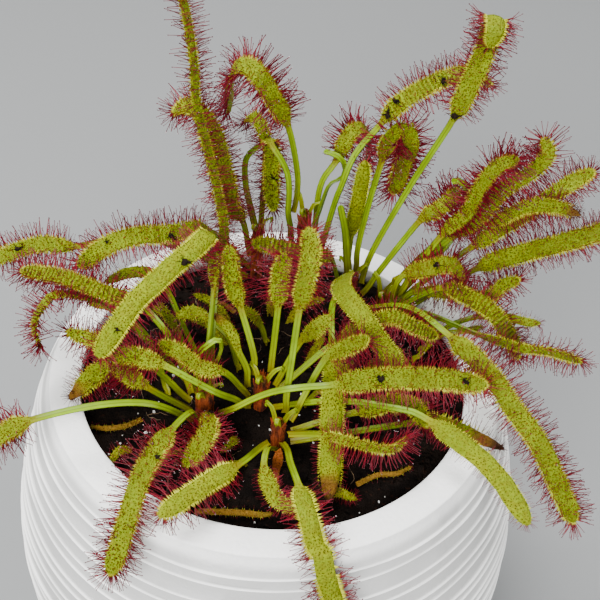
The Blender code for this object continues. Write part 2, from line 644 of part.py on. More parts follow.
def strap(leaf):
    """The leaf's petiole and blade as one strip, split alike on both faces."""
    line, _, sides, uppers = frames(leaf)
    bm = bmesh.new()
    rings = []
    for length in ring_lengths(leaf):
        width, thick = girth_at(leaf, length)
        middle = at_length(leaf, line, length)
        side = at_length(leaf, sides, length) * width / 2
        upper = at_length(leaf, uppers, length) * thick / 2
        corners = (middle - side + upper, middle + side + upper,
                   middle + side - upper, middle - side - upper)
        rings.append([bm.verts.new(from_rim(*corner)) for corner in corners])
    for near, far in zip(rings, rings[1:]):
        for k in range(4):
            after = (k + 1) % 4
            if k == 2:
                bm.faces.new((near[k], near[after], far[k]))
                bm.faces.new((near[after], far[after], far[k]))
            else:
                bm.faces.new((near[k], near[after], far[after]))
                bm.faces.new((near[k], far[after], far[k]))
    bm.faces.new(rings[0][::-1])
    bm.faces.new(rings[-1])
    bmesh.ops.recalc_face_normals(bm, faces=bm.faces)
    return bm


def tentacles(leaf, rng):
    """Root and tip of each tentacle along both edges of a blade and round its tip, in mm."""
    line, ways, sides, uppers = frames(leaf)
    end = leaf["along"][-1]
    found = []
    length = leaf["start"] + FRINGE_MARGIN
    turn = 1
    while length < end - FRINGE_MARGIN:
        width, _ = girth_at(leaf, length)
        side = at_length(leaf, sides, length) * turn
        root = at_length(leaf, line, length) + side * (width / 2 - FRINGE_ROOT)
        lean = at_length(leaf, ways, length) * rng.uniform(*FRINGE_LEAN)
        lift = at_length(leaf, uppers, length) * rng.uniform(*FRINGE_LIFT)
        found.append((root, side + lean + lift))
        length += FRINGE_STEP * rng.uniform(*FRINGE_SPREAD)
        turn = -turn
    for angle in TIP_FAN:
        spread = math.radians(angle)
        ahead = math.cos(spread) * ways[-1] + math.sin(spread) * sides[-1]
        found.append((line[-1] - ways[-1] * FRINGE_ROOT, ahead + uppers[-1] * TIP_LIFT))
    reach = FRINGE_ROOT + FRINGE_LENGTH
    return [(root, root + way / np.linalg.norm(way) * reach * rng.uniform(*FRINGE_SPREAD))
            for root, way in found]


def needle(root, tip, collection):
    """One three-sided tentacle as an object of its own."""
    way = Vector(tip - root)
    turn = way.to_track_quat("Z", "Y").to_matrix().to_4x4()
    place = Matrix.Translation(from_rim(*((root + tip) / 2))) @ turn
    bm = bmesh.new()
    bmesh.ops.create_cone(bm, cap_ends=True, segments=3, radius1=FRINGE_RADIUS * MM,
                          radius2=0.0, depth=way.length * MM, matrix=place)
    mesh = bpy.data.meshes.new("tentacle")
    bm.to_mesh(mesh)
    bm.free()
    collection.objects.link(bpy.data.objects.new("tentacle", mesh))


def walls_tree(surfaces):
    """One search tree over the pieces' faces, with the piece that each face belongs to."""
    corners = []
    faces = []
    owners = []
    for name, bm in surfaces.items():
        first = len(corners)
        bm.verts.index_update()
        corners.extend(vert.co.copy() for vert in bm.verts)
        for face in bm.faces:
            faces.append([first + vert.index for vert in face.verts])
            owners.append(name)
    return BVHTree.FromPolygons(corners, faces), owners


def has_room(name, probes, tree, owners):
    """Whether every probe point keeps clear of the other pieces."""
    for probe in probes:
        for _, _, face, _ in tree.find_nearest_range(probe, NEEDLE_ROOM * MM):
            if owners[face] != name:
                return False
    return True


def tentacle_probes(root, tip):
    """Points along a tentacle outside its root, where it has to keep its distance."""
    return [from_rim(*(root + (tip - root) * share)) for share in np.linspace(PROBE_START, 1.0, PROBES)]


def kept_tentacles(leaves, surfaces):
    """The tentacles of each leaf that touch no other piece and no tentacle of another leaf."""
    rng = random.Random(SEED)
    tree, owners = walls_tree(surfaces)
    wanted = []
    for leaf in leaves:
        for root, tip in tentacles(leaf, rng):
            probes = tentacle_probes(root, tip)
            if has_room(leaf["name"], probes, tree, owners):
                wanted.append((leaf["name"], root, tip, probes))
    near = KDTree(len(wanted) * PROBES)
    for number, (_, _, _, probes) in enumerate(wanted):
        for probe in probes:
            near.insert(probe, number)
    near.balance()
    kept = {}
    rooted = {leaf["name"]: [] for leaf in leaves}
    for number, (name, root, tip, probes) in enumerate(wanted):
        beside = {other for probe in probes
                  for _, other, _ in near.find_range(probe, TENTACLE_ROOM * MM)}
        if all(kept.get(other, name) == name for other in beside):
            kept[number] = name
            rooted[name].append((root, tip))
    return rooted


def plant_seedlings(soil, seedlings):
    """Make the young leaves that rise from the soil part of it."""
    for strip in seedlings:
        combine(soil, add_object("strip", strip, "leaf"), "UNION")
        keep_main_body(soil)


def build_leaf(leaf, bm, needles):
    """A leaf with its tentacles fused to it."""
    made = add_object(leaf["name"], bm, "leaf")
    if needles:
        fringe = bpy.data.collections.new("fringe")
        bpy.context.scene.collection.children.link(fringe)
        for root, tip in needles:
            needle(root, tip, fringe)
        combine(made, fringe, "UNION", "MANIFOLD" if leaf["name"] in CLOSE_CURLS else "EXACT")
        keep_main_body(made)


def stem(name):
    """A crown's short upright stem, which stands in its hole in the soil."""
    x, y, top, radius = CROWNS[name]
    bottom = soil_height(x, y) - SOIL_HOLE + GAP
    bm = bmesh.new()
    place = Matrix.Translation(from_rim(x, y, (top + bottom) / 2))
    bmesh.ops.create_cone(bm, cap_ends=True, segments=STEM_SIDES, radius1=radius * MM,
                          radius2=radius * STEM_TAPER * MM, depth=(top - bottom) * MM, matrix=place)
    return bm


def build_crown(name, bm, buds):
    """A stem with the buds that are part of it."""
    made = add_object(name, bm, "crown")
    for strip in buds:
        combine(made, add_object("strip", strip, "crown"), "UNION")
        keep_main_body(made)


def main():
    clear_scene()
    build_pot()
    soil = build_soil()
    leaves = leaf_list()
    grown = [leaf for leaf in leaves if leaf["kind"] == "grown"]
    surfaces = {leaf["name"]: strap(leaf) for leaf in leaves}
    surfaces.update({"crown_" + name: stem(name) for name in CROWNS})
    surfaces["pot"] = turned(pot_profile(), POT_SIDES)
    needles = kept_tentacles(grown, surfaces)
    for leaf in grown:
        build_leaf(leaf, surfaces[leaf["name"]], needles[leaf["name"]])
    plant_seedlings(soil, [surfaces[leaf["name"]] for leaf in leaves if leaf["kind"] == "seedling"])
    for name in CROWNS:
        buds = [surfaces[leaf["name"]] for leaf in leaves
                if leaf["crown"] == name and leaf["kind"] == "bud"]
        build_crown("crown_" + name, surfaces["crown_" + name], buds)


if __name__ == "__main__":
    main()
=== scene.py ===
"""Looks of a potted sundew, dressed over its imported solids.

Sizes are in millimetres unless a name says otherwise. The leaf routes are measured from the
middle of the pot's rim, with X to the right, Y to the back and Z up.
"""

import functools
import math
import random

import bmesh
import bpy
import numpy as np
from bpy.props import FloatProperty, FloatVectorProperty, IntProperty, PointerProperty
from mathutils import Matrix, Vector, noise
from mathutils.bvhtree import BVHTree
from mathutils.kdtree import KDTree


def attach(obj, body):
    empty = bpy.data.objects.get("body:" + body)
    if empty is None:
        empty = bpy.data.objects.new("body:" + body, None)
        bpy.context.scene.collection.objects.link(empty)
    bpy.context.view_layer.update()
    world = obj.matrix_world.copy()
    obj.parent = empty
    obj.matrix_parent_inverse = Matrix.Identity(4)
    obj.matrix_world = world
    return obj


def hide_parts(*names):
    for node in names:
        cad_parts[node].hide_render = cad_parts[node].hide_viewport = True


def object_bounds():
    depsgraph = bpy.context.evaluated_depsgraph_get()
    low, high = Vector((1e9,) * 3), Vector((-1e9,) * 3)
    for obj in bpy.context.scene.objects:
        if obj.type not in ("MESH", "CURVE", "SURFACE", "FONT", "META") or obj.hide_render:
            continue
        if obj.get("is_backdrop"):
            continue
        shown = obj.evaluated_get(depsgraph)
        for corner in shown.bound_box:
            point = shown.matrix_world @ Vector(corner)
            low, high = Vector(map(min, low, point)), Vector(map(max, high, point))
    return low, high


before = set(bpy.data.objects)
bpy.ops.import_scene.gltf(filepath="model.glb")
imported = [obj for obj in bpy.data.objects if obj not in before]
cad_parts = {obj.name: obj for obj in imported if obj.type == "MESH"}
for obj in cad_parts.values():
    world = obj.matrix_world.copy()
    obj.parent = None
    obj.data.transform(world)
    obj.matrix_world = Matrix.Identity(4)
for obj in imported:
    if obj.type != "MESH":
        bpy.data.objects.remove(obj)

bl_info = {
    "name": "Potted Sundew",
    "version": (1, 0, 0),
    "blender": (4, 5, 0),
    "location": "View3D > Sidebar > Sundew",
    "description": "Builds a strap-leaved sundew in a ribbed ceramic pot",
    "category": "Add Mesh",
}

MM = 0.001
CAD_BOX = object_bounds()
BODY = "root"
SEED = 5

# Camera, in metres and degrees: the photograph's viewpoint. LIT is where the lights aim.
EYE = (0.0, -0.2201, 0.3395)
AIM = (0.0061, 0.0293, 0.110)
LEAN = 4.4
LENS = 72.0
LIT = (0, 0, 0.09)
FLOOR_SIZE = 3.0

# Soft lights: name, place in metres, size across and share of the power
SOFTBOXES = (
    ("overhead_light", (-0.30, 0.25, 1.0), 0.5, 0.68),
    ("front_light", (-0.3, -0.9, 0.7), 0.7, 1.12),
    ("side_light", (0.9, 0.1, 0.5), 0.6, 0.25),
)

# Pot: its outer wall swells from the rim to the belly and draws in to the foot
POT_HEIGHT = 110.0
RIM_OUTER = 58.9
BELLY_RADIUS = 69.6
BELLY_DEPTH = 54.0
FOOT_RADIUS = 43.0
SWELL = 1.8
DRAW_IN = 2.2
RIM_INNER = 50.5
RIM_CROWN = 0.8
LIP_END = 58.5
WALL = 6.0
FLOOR = 7.0
FOOT_BEVEL = 2.0
FOOT_FLAT = 30.0
FOOT_CORNER = 6
LIP_STEPS = 24
LIP_ROUNDNESS = 0.6
LIP_DEPTH = 3.0
LIP_EDGE = 1.0
INNER_STEPS = 11
INNER_SPREAD = 0.8
LOWER_RINGS = 7
POT_SEGMENTS = 200
# The lip is painted pale as a highlight from the top light, fading out below it: where the fade
# starts and how far it runs.
LIP_HIGHLIGHT_START = 1.5
LIP_HIGHLIGHT_FADE = 2.5

# Its ridges: RIDGE_HEIGHT is what leaves keep clear of
RIDGE_HEIGHT = 0.6
RIDGE_TOP = 5.0
RIDGE_END = 84.0
RIDGE_RHYTHM = (1.15, 0.75, 1.3, 0.8)
RIDGE_HALF = 0.42
RIDGE_STEPS = (-0.42, -0.30, -0.16, 0.0, 0.16, 0.30, 0.42)
RIDGE_ROUNDNESS = 0.8
RIDGE_SLACK = 0.2
RIDGE_EVEN = 0.85
RIDGE_UNEVEN = 0.4
RIDGE_UNEVEN_GRAIN = (3.0, 0.7)
RIDGE_WANDER = 0.25
RIDGE_WANDER_GRAIN = (2.0, 1.3)
RIDGE_WANDER_SEED = 40

# Soil, with what is strewn on it
SOIL_DEPTH = 4.5
SOIL_MOUND = 1.5
SOIL_HOLE = 12.0
SOIL_RINGS = 44
SOIL_SEGMENTS = 200
SOIL_EDGE = 0.4
SOIL_ROUGHNESS = 0.9
SOIL_GRAIN = 0.16
SOIL_FRACTAL = (0.9, 2.1, 4)
SOIL_FADE = 3.0
SOIL_SLACK = 0.2
LUMP_MARGIN = 1.8
LUMP_RARITY = 2.5
LUMP_LIFT = 0.25
LUMP_WIDTHS = (0.6, 1)
LUMP_HEIGHTS = (0.5, 0.9)
CLOD_SIZES = (0.35, 1.3)
CLOD_DENT = 0.55
GRAIN_SIZES = (0.25, 0.75)
GRAIN_DENT = 0.25
FIBRE_COUNT = 70
FIBRE_MARGIN = 8
FIBRE_STEP = 1.1
FIBRE_TURN = 0.5
FIBRE_LIFT = (0.15, 0.6)
FIBRE_RADII = [0.07] * 5 + [0.04]
SEED_RADII = (0.3, 0.25, 0.2, 0.2)
SEED_HEADS = 9
SEED_HEAD_RADII = (0.35, 0.15)
SEED_SPREAD = 0.5
GAP = 0.3

# Crowns: place of the stem's axis, height above the rim, stem radius
CROWNS = {
    "front": (2, -22, 7, 1.9),
    "left": (-17, -15, 8, 2.5),
    "right": (20, 32, 9, 2.1),
    "side": (29, 27, 7, 1.9),
    "middle": (-3, -9, 8, 2.2),
    "back": (6, 40, 24, 2.0),
    "rear": (-7, 43, 15, 1.8),
}

# Their stems, the bases of shed leaves round these, the coiled young leaves over them, and
# where leaves are seated
STEM_SEGMENTS = 24
STEM_RINGS = 22
STEM_TIP = (0.92, 0.75, 0.4)
STEM_EVEN = 0.92
STEM_ROUGH = 0.16
STEM_GRAIN = (2, 0.8)
GREEN_TOP = 2
GREEN_SHARE = 0.35
STUB_START = 0.5
STUB_STOP = 1.5
STUB_STEP = 0.35
STUB_UNEVEN = (0.5, 1.3)
STUB_FOOT = 0.7
STUB_REACH = (0.3, 0.9)
STUB_LIFT = (1.4, 2.8)
STUB_RADII = (0.5, 0.35, 0.12)
CROZIERS = 3
CROZIER_SINK = 2.5
CROZIER_SPACING = 0.5
CROZIER_TURN = 2.4
CROZIER_JITTER = 0.4
CROZIER_FOOT = 0.4
CROZIER_HEIGHTS = (3.5, 7.0)
CROZIER_REACHES = (0.25, 0.5)
CROZIER_RADII = (0.7, 1.0)
CROZIER_WIDTHS = (1.2, 1.6)
CROZIER_COIL = (0.9, 1.8, 2.7, 3.6, 4.4)
LOWEST_LEAF = 1.5
HIGHEST_LEAF = 1.0
SEAT_GAP = 0.45

# Leaves
ROUTE_STEPS = 12
LEAST_POINTS = 6
PETIOLE_WIDTH = 1.7
PETIOLE_THICK = 1.1
BUD_TAPER = 0.24
BUD_LEAST = 0.04
BUD_FLATNESS = 0.7
BLADE_LEAST = 0.02
THIN_END = 0.4
FACING = np.array((0.0, -0.6, 0.8))
FACING_SHARE = 0.45
LEAST_SIDE = 0.25
TAPER_IN = 5.0
TAPER_OUT = 6.0
CLEAR = 0.35

# Each leaf: crown, width, number of the route point where the blade starts, roll about its
# own length in degrees, kind, and the points that its midrib runs through. A grown leaf has a
# fringe of tentacles and is a piece of its own; a bare bud is part of its crown.
LEAVES = (
    ("left", 3.2, 2, 50, "grown", (-16, -6, 14), (-16, 7, 25), (-15, 16, 34), (-17, 21, 43),
     (-20, 25, 53), (-23, 28, 64), (-24, 32, 74), (-26, 37, 82), (-28, 41, 88)),
    ("rear", 4.0, 1, 0, "grown", (-11, 38, 20), (-14, 34, 28), (-15, 32, 37), (-17, 33, 45),
     (-19, 34, 52), (-23, 36, 57), (-27, 38, 57), (-30, 39, 54)),
    ("rear", 2.0, 1, 0, "bud", (-9, 43, 20), (-11, 45, 28), (-11, 46, 36), (-7, 47, 40)),
    ("back", 5.0, 2, 0, "grown", (3, 40, 36), (0, 41, 50), (-4, 41, 58), (-8, 41, 65),
     (-12, 43, 67), (-15, 45, 64), (-16, 47, 58), (-16, 50, 48)),
    ("rear", 3.2, 2, 0, "grown", (-6, 48, 26), (-6, 50, 36), (-7, 51, 42), (-10, 53, 45),
     (-12, 54, 42)),
    ("back", 4.0, 2, 0, "grown", (1, 40, 34), (-4, 42, 43), (-5, 45, 43), (-4, 46, 38),
     (-4, 46, 30), (-3, 45, 19)),
    ("back", 4.2, 2, 0, "grown", (10, 42, 32), (13, 42, 39), (15, 44, 44), (17, 47, 46),
     (20, 50, 45), (22, 50, 41), (22, 51, 34)),
    ("back", 4.4, 2, 0, "grown", (16, 40, 38), (24, 42, 52), (28, 43, 58), (35, 46, 62),
     (45, 52, 63), (53, 54, 59)),
    ("right", 4.8, 3, 0, "grown", (25, 34, 15), (33, 36, 37), (41, 34, 60), (44, 36, 69),
     (47, 39, 78), (48, 41, 84), (48, 39, 87), (48, 36, 85), (47, 35, 81)),
    ("back", 2.0, 2, 0, "bud", (11, 41, 30), (15, 40, 35), (16, 41, 38), (14, 42, 41),
     (10, 44, 41)),
    ("right", 5.4, 3, 0, "grown", (21, 35, 15), (22, 36, 25), (25, 39, 42), (27, 41, 50),
     (30, 42, 51), (32, 42, 46), (31, 43, 38), (30, 43, 29)),
    ("right", 4.0, 1, 0, "grown", (19, 37, 17), (20, 38, 27), (21, 41, 41)),
    ("right", 2.4, 1, 0, "bud", (18, 32, 16), (17, 33, 23), (15, 34, 31)),
    ("side", 2.4, 1, 0, "bud", (49, 35, 26), (49, 36, 31), (49, 36, 35), (48, 36, 38),
     (46, 36, 40), (44, 37, 39)),
    ("right", 4.0, 1, 0, "grown", (36, 31, 29), (40, 31, 33), (44, 33, 36), (47, 39, 35)),
    ("side", 3.8, 1, 0, "grown", (42, 28, 27), (48, 29, 35), (50, 29, 43), (54, 31, 49),
     (60, 35, 49)),
    ("side", 3.8, 1, 0, "grown", (46, 33, 23), (54, 35, 31), (58, 37, 37), (65, 39, 42),
     (69, 41, 47), (67, 44, 50)),
    ("side", 3.6, 2, 20, "grown", (42, 35, 18), (56, 37, 25), (67, 40, 30), (75, 40, 30),
     (82, 43, 26)),
    ("side", 4.2, 1, 0, "grown", (52, 36, 17), (69, 42, 28), (76, 45, 33), (85, 50, 36)),
    ("side", 5.0, 1, 0, "grown", (54, 33, 12), (66, 35, 17), (77, 38, 19), (89, 43, 20),
     (96, 48, 19)),
    ("side", 4.6, 1, 0, "grown", (33, 25, 15), (41, 25, 19), (46, 25, 20), (50, 25, 15)),
    ("side", 3.4, 1, 0, "grown", (38, 26, 9), (56, 23, 11), (61, 26, 13), (66, 28, 14)),
    ("side", 4.4, 1, 0, "grown", (43, 21, 15), (51, 19, 14), (58, 16, 11), (63, 13, 6),
     (66, 11, 0)),
    ("side", 3.0, 2, 60, "grown", (38, 19, 8), (53, 7, 12), (65, 3, 12), (73, 4, 10), (81, 4, 7)),
    ("right", 5.0, 2, 0, "grown", (34, 14, 14), (44, 1, 17), (54, -9, 14), (60, -15, 9),
     (67, -21, 3), (73, -26, -6), (79, -31, -16)),
    ("middle", 4.8, 3, 0, "grown", (14, -18, 10), (32, -22, 13), (38, -25, 13), (48, -33, 12),
     (55, -39, 9), (62, -47, 3)),
    ("front", 4.0, 1, 0, "grown", (36, -18, 4), (43, -18, 4), (50, -22, 5), (58, -25, 4)),
    ("left", 5.0, 2, 0, "grown", (1, -20, 15), (14, -20, 18), (25, -18, 19), (38, -16, 18),
     (53, -14, 15)),
    ("right", 5.2, 1, 0, "grown", (18, 25, 14), (16, 11, 22), (20, 4, 21), (25, -1, 17),
     (32, -7, 12)),
    ("front", 4.2, 1, 0, "grown", (20, -21, 10), (30, -17, 10), (35, -17, 9), (39, -20, 5)),
    ("right", 5.6, 3, 0, "grown", (17, 19, 14), (14, 7, 19), (14, -7, 19), (15, -16, 16),
     (15, -23, 9), (15, -32, 4), (15, -41, 0)),
    ("middle", 4.0, 1, 0, "grown", (0, -5, 28), (0, -3, 36), (1, -2, 44)),
    ("front", 4.2, 3, 0, "grown", (3, -21, 10), (4, -18, 22), (5, -14, 36), (6, -12, 43),
     (7, -8, 48), (6, -2, 52)),
    ("middle", 3.8, 2, 0, "grown", (-5, -7, 12), (-9, -2, 24), (-12, 1, 32), (-13, 3, 41)),
    ("middle", 2.6, 2, 0, "grown", (-6, -9, 9), (-9, -8, 15), (-11, -6, 20), (-14, -4, 22),
     (-17, -1, 22)),
    ("right", 4.0, 1, 0, "grown", (14, 24, 20), (11, 22, 23), (4, 20, 26), (-3, 19, 28),
     (-8, 20, 28)),
    ("middle", 3.6, 1, 0, "grown", (16, -2, 16), (28, 4, 19), (34, 4, 17), (42, 5, 12)),
    ("middle", 3.8, 1, 0, "grown", (6, -8, 20), (9, -7, 23), (13, -3, 25)),
    ("front", 3.8, 1, 0, "grown", (12, -14, 20), (16, -12, 22), (23, -9, 24)),
    ("front", 2.4, 1, 40, "grown", (12, -28, 9), (18, -31, 11), (25, -33, 11), (30, -32, 10),
     (33, -28, 10)),
    ("front", 4.6, 1, 0, "grown", (7, -44, 10), (10, -53, 8), (12, -57, 3), (15, -60, -4),
     (18, -63, -13), (20, -66, -22)),
    ("front", 4.4, 1, 0, "grown", (-7, -38, 8), (-14, -45, 9), (-24, -55, 9)),
    ("front", 4.0, 1, 0, "grown", (0, -30, 5), (-1, -36, 5), (2, -44, 4), (7, -48, 4)),
    ("left", 4.4, 1, 0, "grown", (-16, -20, 6), (-15, -27, 7), (-17, -33, 7), (-20, -38, 6)),
    ("left", 4.4, 2, 0, "grown", (-19, -22, 8), (-23, -31, 12), (-28, -43, 12), (-30, -49, 9),
     (-32, -55, 3), (-35, -60, -8)),
    ("left", 4.4, 3, 0, "grown", (-29, -25, 13), (-41, -29, 16), (-56, -32, 13), (-64, -33, 8),
     (-71, -35, 3), (-77, -38, -3)),
    ("middle", 4.0, 2, 0, "grown", (-14, -19, 12), (-26, -18, 19), (-31, -17, 20), (-35, -15, 19),
     (-40, -13, 16)),
    ("left", 4.6, 1, 0, "grown", (-30, -20, 13), (-36, -17, 15), (-40, -12, 13), (-45, -13, 9),
     (-51, -17, 4)),
    ("left", 5.0, 1, 0, "grown", (-16, -2, 30), (-17, 7, 40), (-21, 1, 41), (-28, -5, 37),
     (-34, -9, 32), (-39, -14, 26), (-43, -17, 20)),
    ("rear", 3.8, 2, 0, "grown", (-34, 20, 27), (-52, 14, 28), (-62, 14, 28), (-72, 13, 24),
     (-76, 14, 21)),
    ("rear", 4.6, 1, 0, "grown", (-19, 28, 24), (-29, 20, 29), (-37, 16, 31), (-45, 14, 29),
     (-52, 11, 24)),
    ("left", 3.6, 2, 0, "grown", (-26, -9, 19), (-34, -4, 26), (-42, -3, 28), (-51, 0, 29),
     (-58, 4, 27), (-66, 8, 24)),
    ("left", 3.4, 2, 50, "grown", (-29, -10, 16), (-43, -3, 24), (-54, -2, 26), (-58, -5, 24),
     (-60, -8, 20), (-58, -11, 16)),
    ("left", 3.4, 1, 0, "grown", (-33, -12, 15), (-44, -10, 18), (-52, -8, 19)),
    ("middle", 3.4, 1, 0, "grown", (-12, -14, 14), (-18, -15, 16), (-23, -13, 19), (-29, -9, 18)),
    ("left", 2.0, 1, 0, "bud", (-15, -14, 14), (-13, -11, 19), (-14, -10, 22), (-16, -11, 21),
     (-19, -11, 17), (-21, -12, 13)),
)

# Each seedling, a young leaf that rises from the soil: width, number of the route point where
# its blade starts, roll, and the points that its midrib runs through, the first in the soil.
SEEDLINGS = (
    (2.6, 2, 0, (39, 15, -6), (46, 17, 4), (54, 17, 9), (61, 15, 11), (66, 14, 11), (71, 16, 9)),
    (2.4, 2, 0, (37, 11, -6), (44, 13, 5), (50, 13, 7), (56, 16, 7)),
    (3.4, 2, 0, (-20, 4, -6), (-25, 8, 8), (-29, 12, 16), (-33, 14, 20), (-39, 13, 21),
     (-45, 11, 19)),
    (3.2, 2, 0, (-27, -7, -6), (-31, -2, 8), (-36, 1, 14), (-42, 4, 17), (-49, 7, 15)),
    (3.8, 2, 0, (-9, 3, -6), (-12, 5, 6), (-17, 6, 12), (-22, 7, 14), (-27, 6, 12)),
    (2.4, 1, 0, (-22, 6, -6), (-25, 6, 6), (-28, 6, 13), (-31, 8, 16)),
    (3.0, 1, 0, (19, 19, -6), (19, 15, 4), (20, 8, 8), (23, 4, 6)),
    (3.2, 1, 0, (-21, -25, -6), (-24, -29, 0), (-27, -34, 2), (-29, -40, 1)),
    (3.2, 1, 0, (-5, -28, -6), (-8, -31, 0), (-11, -36, 2), (-13, -42, 1)),
    (3.4, 1, 0, (27, 16, -6), (30, 11, 2), (34, 4, 3), (38, -3, 1)),
    (3.0, 1, 0, (8, -8, -6), (11, -8, 2), (16, -9, 5), (21, -11, 5)),
    (2.4, 1, 0, (2, -33, -6), (2, -32, -2), (2, -30, 1), (2, -28, 3)),
    (2.6, 1, 0, (-2, 14, -6), (-4, 13, 4), (-7, 12, 10), (-11, 11, 13)),
    (2.6, 1, 0, (24, 6, -6), (25, 3, 3), (28, -2, 8), (32, -6, 9)),
)

# How leaves that cross are bent clear of each other, in mm
BEND_SPACING = 2.0
BEND_SWEEPS = 200
BEND_REACH = 4.0
LEAST_DISTANCE = 0.1
HELD_BASE = 3.0
SEAT_SWEEPS = 80
SEAT_SINK = 0.4
PETIOLE_SPARE = 0.25
BLADE_SHARE = 0.33
BLADE_SPARE = 0.5
REST_GAP = 0.5
WALL_GAP = 1.0
RIM_REACH = 2.0
STEM_SPARE = 1.2
LEAF_PUSH = 1.5
POT_PUSH = 0.5
EYE_DIRECTION = np.array((0.0, 0.69, -0.72))
EYE_SHARE = 0.6

# Finer shapes of leaves, in mm
BLADE_BODY = 1.05
LEAF_SIDES = 14
BLADE_RING = 0.9
PETIOLE_RING = 2.2
ROUND_END = 2.0
ROUND_RINGS = 7
SQUARENESS = 2 / 2.7
CAMBER = 0.10
CUP_LEVEL = 0.4
EDGE_THIN = 0.35
EDGE_WAVE = 0.2
WAVE_GRAIN = (0.22, 0.6)
EDGE_WANDER = 0.05
WANDER_GRAIN = 0.8
WANDER_SEED = 9
PIT_DEPTH = 0.10
PIT_GRAIN = (1.1, 1.8)
PETIOLE_GROOVE = 1.0
NECK_FLUSH = 2.5
NECK_SHARE = 0.4
# A flush near each leaf's foot, partly the red of its base and partly painted shade low among the
# leaves: its reach and its strength.
BASE_FLUSH_AND_SHADE = 8.0
BASE_FLUSH_AND_SHADE_SHARE = 0.5
WITHER_LENGTH = 14.0
WITHER_SHRINK = 0.4
WRINKLE = 1.3
WRINKLE_GRAIN = 0.9
NO_BLADE = -99.0
OWN_PATTERN = 3.7
OWN_NOISE = 7.3
SKIN_VALUES = ("along", "across", "upper", "dead", "flush_and_shade", "own", "tip", "red", "ribs")

# Tentacles: the rows at each edge, each with its inset, its least and greatest lift in radians
# and its size, how far they bend, and the radii of root, tip and head with the shares of the
# length at which the stalk's rings lie
EDGE_ROWS = ((0.0, -0.6, -0.05, 0.95), (0.03, 0.0, 0.5, 1.05), (0.10, 0.45, 1.1, 0.8))
EDGE_BENDS = (-0.8, -0.3, 0.3, 0.8, 1.3, 1.8)
EDGE_FORM = (0.23, 0.075, 0.15, (0.0, 0.16, 0.5, 1.0))
FACE_BENDS = (-0.3, 0.3)
FACE_FORM = (0.12, 0.07, 0.115, (0.0, 1.0))
FACE_LENGTH = 0.6
HEAD_STRETCH = 1.4
ROOT_FLARE = 3.5

# Where they stand: the first and last on an edge, how unevenly, how deep, how they lean from
# the blade's root to its tip, how small the first ones are, the number round a tip and its
# spread in degrees, and the number on each mm2 of face with its margin
EDGE_START = 1.5
EDGE_STOP = 0.8
EDGE_JITTER = 0.3
EDGE_SIZES = (0.75, 1.12)
ROOT_SINK = 0.12
LEAN_SPREAD = 0.22
LEAN_TURN = 0.4
LEAN_LEVEL = 0.35
YOUNG_SIZE = 0.45
YOUNG_REACH = 9
TIP_TENTACLES = 24
TIP_SPREAD = 80
TIP_INSET = 1.2
TIP_REACH = 0.15
TIP_LIFT = (-0.1, 0.9)
TIP_SIZES = (0.8, 1.1)
FACE_DENSITY = 0.85
FACE_MARGIN = 1.0
FACE_SPREAD = 0.8
FACE_SINK = 0.38
FACE_LEAN = 0.25
FACE_SPLAY = 0.5
FACE_SIZES = (0.7, 1.3)

# How far one keeps off other pieces and the box of the solids, the least share of one that
# may be left, and how dead tips and crowded faces shrink them
SEARCH_SPARE = 0.6
TOUCH_GAP = 0.5
BOX_SPARE = 1.1
LEAST_SHARE = 0.4
DEAD_SHRINK = 0.6
SHAG_SIZE = 0.42

# How each leaf looks where it isn't a plain grown one: dead share of its tip, flip shows its
# underside, long and red scale its tentacles' length and colour, few thins them out, and ribs
# is how strongly its face is ribbed across; dry and brown are how far it has withered or
# reddened (on seedlings and sprigs dry is painted shade instead), shag is whether long
# tentacles cover its face too, late is how much later its blade starts than its solid's, and
# wide scales its width
LEAF_LOOKS = {
    "leaf_front_01": {"dead": 0.3, "few": 0.5, "red": 0.7},
    "leaf_front_06": {"flip": True, "red": 0.8},
    "leaf_front_07": {"flip": True, "few": 0.8},
    "leaf_middle_01": {"flip": True, "long": 0.5, "few": 0.6, "red": 0.6},
    "leaf_right_07": {"flip": True, "long": 0.45, "red": 0.4},
    "leaf_right_08": {"flip": True, "long": 0.5, "red": 0.4, "dead": 0.12},
    "leaf_right_03": {"flip": True, "long": 0.8},
    "leaf_left_06": {"dead": 0.12, "red": 0.8},
    "leaf_side_04": {"dead": 0.15},
    "leaf_front_08": {"long": 0.5, "red": 0.5, "late": 5.0, "wide": 0.9},
    "leaf_left_05": {"long": 1.1, "red": 1.2},
    "leaf_left_04": {"long": 1.05, "red": 1.2},
    "leaf_left_09": {"long": 1.15, "red": 1.3, "shag": True},
    "leaf_left_07": {"flip": True, "long": 0.85},
    "leaf_back_01": {"long": 1.25, "red": 1.3, "shag": True},
    "leaf_back_03": {"long": 1.2, "red": 1.4, "shag": True},
    "leaf_right_02": {"long": 1.25, "red": 1.4, "shag": True},
    "leaf_right_05": {"long": 1.15, "red": 1.3, "shag": True},
    "leaf_side_02": {"long": 1.2, "red": 1.4, "shag": True, "few": 1.2},
    "leaf_side_03": {"long": 1.2, "red": 1.2, "shag": True},
    "leaf_side_07": {"long": 1.2, "red": 1.4, "shag": True},
    "leaf_side_09": {"ribs": 1.0},
    "leaf_left_08": {"ribs": 1.0, "red": 1.2},
    "leaf_right_09": {"ribs": 1.0, "long": 1.1, "red": 1.3},
    "leaf_middle_05": {"ribs": 0.8},
    "leaf_back_04": {"ribs": 0.7},
    "leaf_middle_06": {"long": 0.5, "red": 0.4},
    "seedling_12": {"long": 0.1, "few": 0.1, "brown": 1.0, "dry": 0.0, "wide": 1.4},
    "leaf_middle_04": {"long": 0.3, "red": 0.5, "dead": 0.25, "few": 0.6},
}
PLAIN_LOOK = {"dead": 0.0, "flip": False, "long": 1.0, "red": 1.0, "few": 1.0, "ribs": 0.15,
              "dry": 0.0, "brown": 0.0, "shag": False, "late": 0.0, "wide": 1.0}
